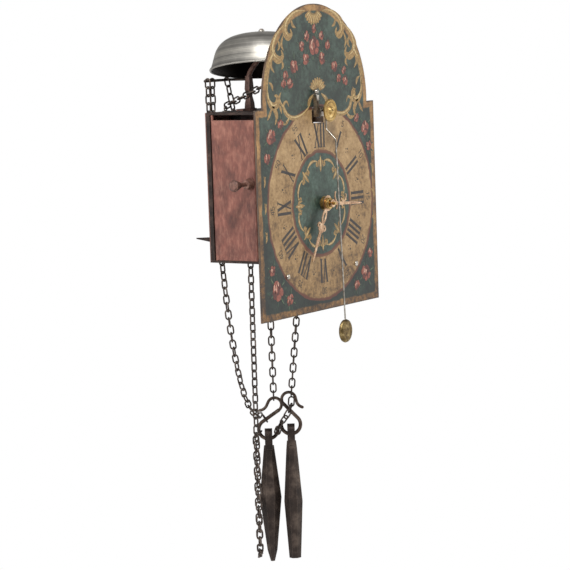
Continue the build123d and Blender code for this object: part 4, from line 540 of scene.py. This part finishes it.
def paint_roses(dark, mid, light, leaf, leaf_light):
    """Full-blown roses: dark red hearts, salmon petals, pale dabs on the lit side, narrow leaves around."""
    for x, z, size in ROSES:
        spin = random.uniform(0, 360)
        for step in range(8):
            turn = math.radians(spin + step * 45 + random.uniform(-14, 14))
            far = size * random.uniform(1.3, 1.9)
            leaf.stroke([out_from(x, z, size * 0.7, turn), out_from(x, z, far * 0.85, turn + 0.18),
                         out_from(x, z, far, turn + 0.1)], size * 0.32, steps=4)
            if step % 2:
                leaf_light.stroke([out_from(x, z, size * 0.9, turn + 0.1),
                                   out_from(x, z, far * 0.93, turn + 0.12)], size * 0.09, steps=4)
        dark.petal(x, z, size * 0.74, size * 0.66, spin)
        for step in range(7):
            turn = math.radians(spin + step * 51 + random.uniform(-20, 20))
            out = size * random.uniform(0.5, 0.74)
            layer = dark if step % 3 == 0 else mid
            layer.petal(*out_from(x, z, out, turn), size * random.uniform(0.2, 0.34),
                        size * random.uniform(0.26, 0.46), math.degrees(turn) + random.uniform(-30, 30))
        mid.petal(x - size * 0.08, z + size * 0.1, size * 0.32, size * 0.2, spin)
        for _ in range(4):
            turn = math.radians(random.uniform(70, 200))
            out = size * random.uniform(0.1, 0.66)
            light.petal(*out_from(x, z, out, turn), size * random.uniform(0.08, 0.12),
                        size * random.uniform(0.22, 0.36), random.uniform(-30, 30))


# Scrolls on the left half, mirrored to the right: the points of each and its width, in millimetres
SCROLLS = (
    ([(-18, 343), (-38, 342), (-55, 333), (-60, 322), (-54, 315), (-47, 318), (-49, 324)], 6.5),
    ([(-58, 330), (-76, 319), (-86, 306), (-84, 295), (-74, 290), (-66, 294), (-69, 301)], 6.5),
    ([(-82, 301), (-94, 288), (-100, 271), (-99, 254)], 6),
    ([(-100, 262), (-98, 247), (-90, 239), (-81, 241), (-80, 249), (-86, 251)], 6),
    ([(-99, 247), (-90, 240), (-82, 228), (-86, 218)], 4.5),
)
SCROLL_LEAVES = (
    ((-62, 320), (-68, 308), (-64, 300)), ((-86, 296), (-90, 284), (-84, 276)),
    ((-96, 266), (-90, 262), (-88, 256)), ((-47, 336), (-44, 328), (-38, 325)),
    ((-76, 314), (-72, 306), (-76, 300)), ((-70, 290), (-66, 284), (-70, 279)),
    ((-90, 240), (-96, 230), (-101, 224)), ((-80, 241), (-74, 236), (-72, 230)),
)
WINDOW_MIDDLE = 4
WINDOW_SCROLLS = (
    ([(-9, 245), (-17, 234), (-32, 226), (-49, 224), (-62, 229), (-68, 239), (-61, 243), (-57, 237)], 5.5),
    ([(-3, 249), (-13, 243), (-18, 236)], 5),
    ([(-55, 226), (-64, 219), (-74, 220)], 4),
    ([(-68, 236), (-76, 246), (-72, 254)], 4),
)


def paint_scrolls(gilt, shine):
    """Ochre rocaille: scrolls along the border, a shell at the top, a fan over the window, a ring inside."""
    for points, width in SCROLLS:
        for row in both_sides(points):
            gilt.stroke(row, width * 1.5)
            shine.stroke([(x * 0.99, z + 1) for x, z in row[:-2]], width * 0.34)
    for points in SCROLL_LEAVES:
        for row in both_sides(points):
            gilt.stroke(row, 4)
    for step in range(-4, 5):
        lean = step * 17
        s, c = math.sin(math.radians(lean)), math.cos(math.radians(lean))
        gilt.stroke([(s * 7, 345 - c * 4), (s * 15, 343 - c * 12), (s * 19, 343 - c * 16)], 4.6)
        shine.stroke([(s * 8, 344 - c * 5), (s * 16, 342 - c * 12)], 1.2)
    for step in range(-4, 5):
        lean = step * 19
        s, c = math.sin(math.radians(lean)), math.cos(math.radians(lean))
        gilt.stroke([(WINDOW_MIDDLE + s * 4, 252 + c * 3), (WINDOW_MIDDLE + s * 12, 254 + c * 10),
                     (WINDOW_MIDDLE + s * 17, 255 + c * 13)], 4.2)
        shine.stroke([(WINDOW_MIDDLE + s * 7, 253 + c * 6), (WINDOW_MIDDLE + s * 14, 254 + c * 11)], 1.2)
    for points, width in WINDOW_SCROLLS:
        for row in both_sides(points, WINDOW_MIDDLE):
            gilt.stroke(row, width)
            shine.stroke([(x, z + 0.8) for x, z in row[:-1]], width * 0.26)
    for step in range(8):
        turn = step * 45
        arc = [dial_place(turn + 22.5 + share * 15, 0, 51.5 - 3 * share * share)
               for share in (-1, -0.5, 0, 0.5, 1)]
        gilt.stroke(arc, 3.4)
        shine.stroke(arc, 1.1)
        for side in (-1, 1):
            gilt.stroke([dial_place(turn + side * 9, 0, 50), dial_place(turn + side * 11, 0, 45),
                         dial_place(turn + side * 7.5, 0, 43.5)], 3.2)
            gilt.stroke([dial_place(turn, side * 1, 50), dial_place(turn, side * 4.5, 47),
                         dial_place(turn, side * 5.5, 41)], 3.2)
        gilt.stroke([dial_place(turn, 0, 55), dial_place(turn, 0, 46), dial_place(turn, 0, 36)], 5)
        shine.stroke([dial_place(turn, 0, 53), dial_place(turn, 0, 41)], 1.4)
    for z in (158, 128, 96):
        for x in (-112, 118):
            gilt.stroke([(x, z - 8), (x + 2, z - 2), (x, z + 5)], 3.4)
            gilt.stroke([(x, z), (x + (4 if x < 0 else -3), z + 4)], 2.4)


def paint_dial():
    """All of the dial's painting, from its lowest layer of paint to its highest."""
    # The paint of each layer, its three tones from dark to light, and its lift off the dial in millimetres
    paints = (
        ("painted_scrolls", "ochre_colour", "#5c4424", "#8d6f3f", "#ad8f58", 0.02),
        ("painted_scroll_lights", "straw_colour", "#94794a", "#b89f6f", "#cfbb8b", 0.16),
        ("painted_leaves", "leaf_green_colour", "#121b15", "#1d2c22", "#2f4332", 0.02),
        ("painted_leaf_lights", "sage_colour", "#3c4e39", "#586a4d", "#74805f", 0.15),
        ("painted_rose_hearts", "madder_colour", "#33150f", "#52241b", "#6e362a", 0.05),
        ("painted_rose_petals", "salmon_colour", "#5f2d22", "#834435", "#9c5c49", 0.22),
        ("painted_rose_lights", "blush_colour", "#936250", "#b48774", "#cdad98", 0.36),
        ("painted_hours", "bone_black_colour", "#15110e", "#241c17", "#3d3026", 0.02),
    )
    layers = [Paint(name, brushed_colour(paint, *tones), lift) for name, paint, *tones, lift in paints]
    gilt, shine, leaf, leaf_light, dark, mid, light, black = layers
    paint_scrolls(gilt, shine)
    paint_roses(dark, mid, light, leaf, leaf_light)
    paint_hours(black)
    for layer in layers:
        layer.make()


def white_stage(name):
    """A plain pale surface that the camera and the glossy metals see as white."""
    material = bpy.data.materials.new(name)
    material.use_nodes = True
    tree = material.node_tree
    tree.nodes.clear()
    path = add_node(tree, "ShaderNodeLightPath")
    seen = add_node(tree, "ShaderNodeMath", {0: path.outputs["Is Camera Ray"],
                                             1: path.outputs["Is Glossy Ray"]}, operation="MAXIMUM")
    matt = add_node(tree, "ShaderNodeBsdfDiffuse", {"Color": colour("#e6e6e4")})
    glow = add_node(tree, "ShaderNodeEmission", {"Color": (1, 1, 1, 1), "Strength": 1.0})
    mixed = add_node(tree, "ShaderNodeMixShader", {0: seen.outputs[0], 1: matt.outputs[0],
                                                   2: glow.outputs[0]})
    add_node(tree, "ShaderNodeOutputMaterial", {"Surface": mixed.outputs[0]})
    return material


def build_stage():
    """A white floor well below the weights, a white sky behind it and soft lamps."""
    white = white_stage("white_stage")
    corners = ((-1, -1), (1, -1), (1, 1), (-1, 1))
    add_sheet("floor", [(x * FLOOR_REACH, y * FLOOR_REACH, FLOOR_HEIGHT) for x, y in corners], white)
    world = bpy.data.worlds.new("world")
    world.use_nodes = True
    bpy.context.scene.world = world
    world.node_tree.nodes.clear()
    path = add_node(world.node_tree, "ShaderNodeLightPath")
    strength = add_node(world.node_tree, "ShaderNodeMapRange", {"Value": path.outputs["Is Camera Ray"],
                                                                "To Min": 0.42, "To Max": 1.0})
    sky = add_node(world.node_tree, "ShaderNodeBackground", {"Color": (1, 1, 1, 1),
                                                             "Strength": strength.outputs[0]})
    add_node(world.node_tree, "ShaderNodeOutputWorld", {"Surface": sky.outputs[0]})
    add_lamp("key_lamp", (-1.7, -1.15, 2.25), (0, 0, 0.05), 0.45, 84)
    add_lamp("side_lamp", (-2.2, 0.9, 0.7), (0, 0.05, 0), 1.3, 22)
    add_lamp("fill_lamp", (1.6, -1.8, 0.5), (0, 0, 0), 1.6, 14)
    bpy.context.scene.view_settings.view_transform = "Standard"


def dress_frame():
    """Finishes of the CAD nodes."""
    dress(dial_paint(), "dial_plate")
    dress(bell_metal(), "bell")
    dress(old_paint("red_brown_oil_paint", "#4b2a23", "#764539", "#a0705f", "#3a2620", 5.0), "left_door",
          "right_door", "back_sheet")
    dress(old_paint("worn_red_lead_paint", "#3e2822", "#694539", "#a88273", "#32231e", 2.5), "left_latch",
          "right_latch", "bell_stand")
    dress(forged_iron("blackened_forged_iron", "#1a1513", "#2e2420", "#54423a", 0.55, (0.45, 0.7)),
          "top_plate", "bottom_plate", "front_bar", "middle_bar", "rear_bar", "upper_dial_bracket",
          "lower_dial_bracket", "crown_foot_bracket", "crown_top_cock", "wall_spurs", "corner_posts")
    dress(forged_iron("forged_chain_wire", "#231d1a", "#443a34", "#7d7168", 0.75, (0.35, 0.55), 2.0, 0.15),
          "going_chain", "strike_chain", "hanging_chain", "stay_chain", "chain_staples", "stay_staples",
          "chain_rail")
    dress(forged_iron("forged_hook_iron", "#2a211c", "#4a3c33", "#85766a", 0.7, (0.35, 0.55), 3.0, 0.2),
          "right_hook", "left_hook")
    dress(forged_iron("hammered_weight_iron", "#1c1613", "#332924", "#5f5249", 0.6, (0.42, 0.62), 5.0, 0.4),
          "right_weight", "left_weight")
    dress(turned_metal("dulled_brass", "#7b6038", "#b8975c", "#e2ca92", (0.3, 0.5), 9), "pendulum_disc",
          "hand_hub", "contrate_wheel", "crown_wheel", "second_wheel", "going_great_wheel",
          "strike_great_wheel", "pin_wheel", "hoop_wheel", "count_wheel", "minute_arbor",
          "motion_report_wheel", "hour_wheel", "going_chain_wheel", "strike_chain_wheel")
    dress(turned_metal("tarnished_cast_brass", "#3a2f20", "#75623f", "#b5a173", (0.3, 0.55), 5, 0.2),
          "pendulum_bob")
    dress(turned_metal("filed_hand_iron", "#7a604b", "#b39174", "#dfc6a8", (0.28, 0.5), 6), "hour_hand",
          "minute_hand")
    dress(turned_metal("pale_filed_iron", "#6d675f", "#a8a298", "#d8d3ca", (0.25, 0.45), 5), "dial_pins",
          "cock_finial", "front_cock", "bell_nut", "pendulum_wire")
    dress(turned_metal("filed_arbor_steel", "#45413d", "#77726b", "#a9a49c", (0.3, 0.5), 8), "verge", "fly",
          "hammer", "lifting_lever", "motion_stud")


set_camera()
build_stage()
dress_frame()
paint_dial()
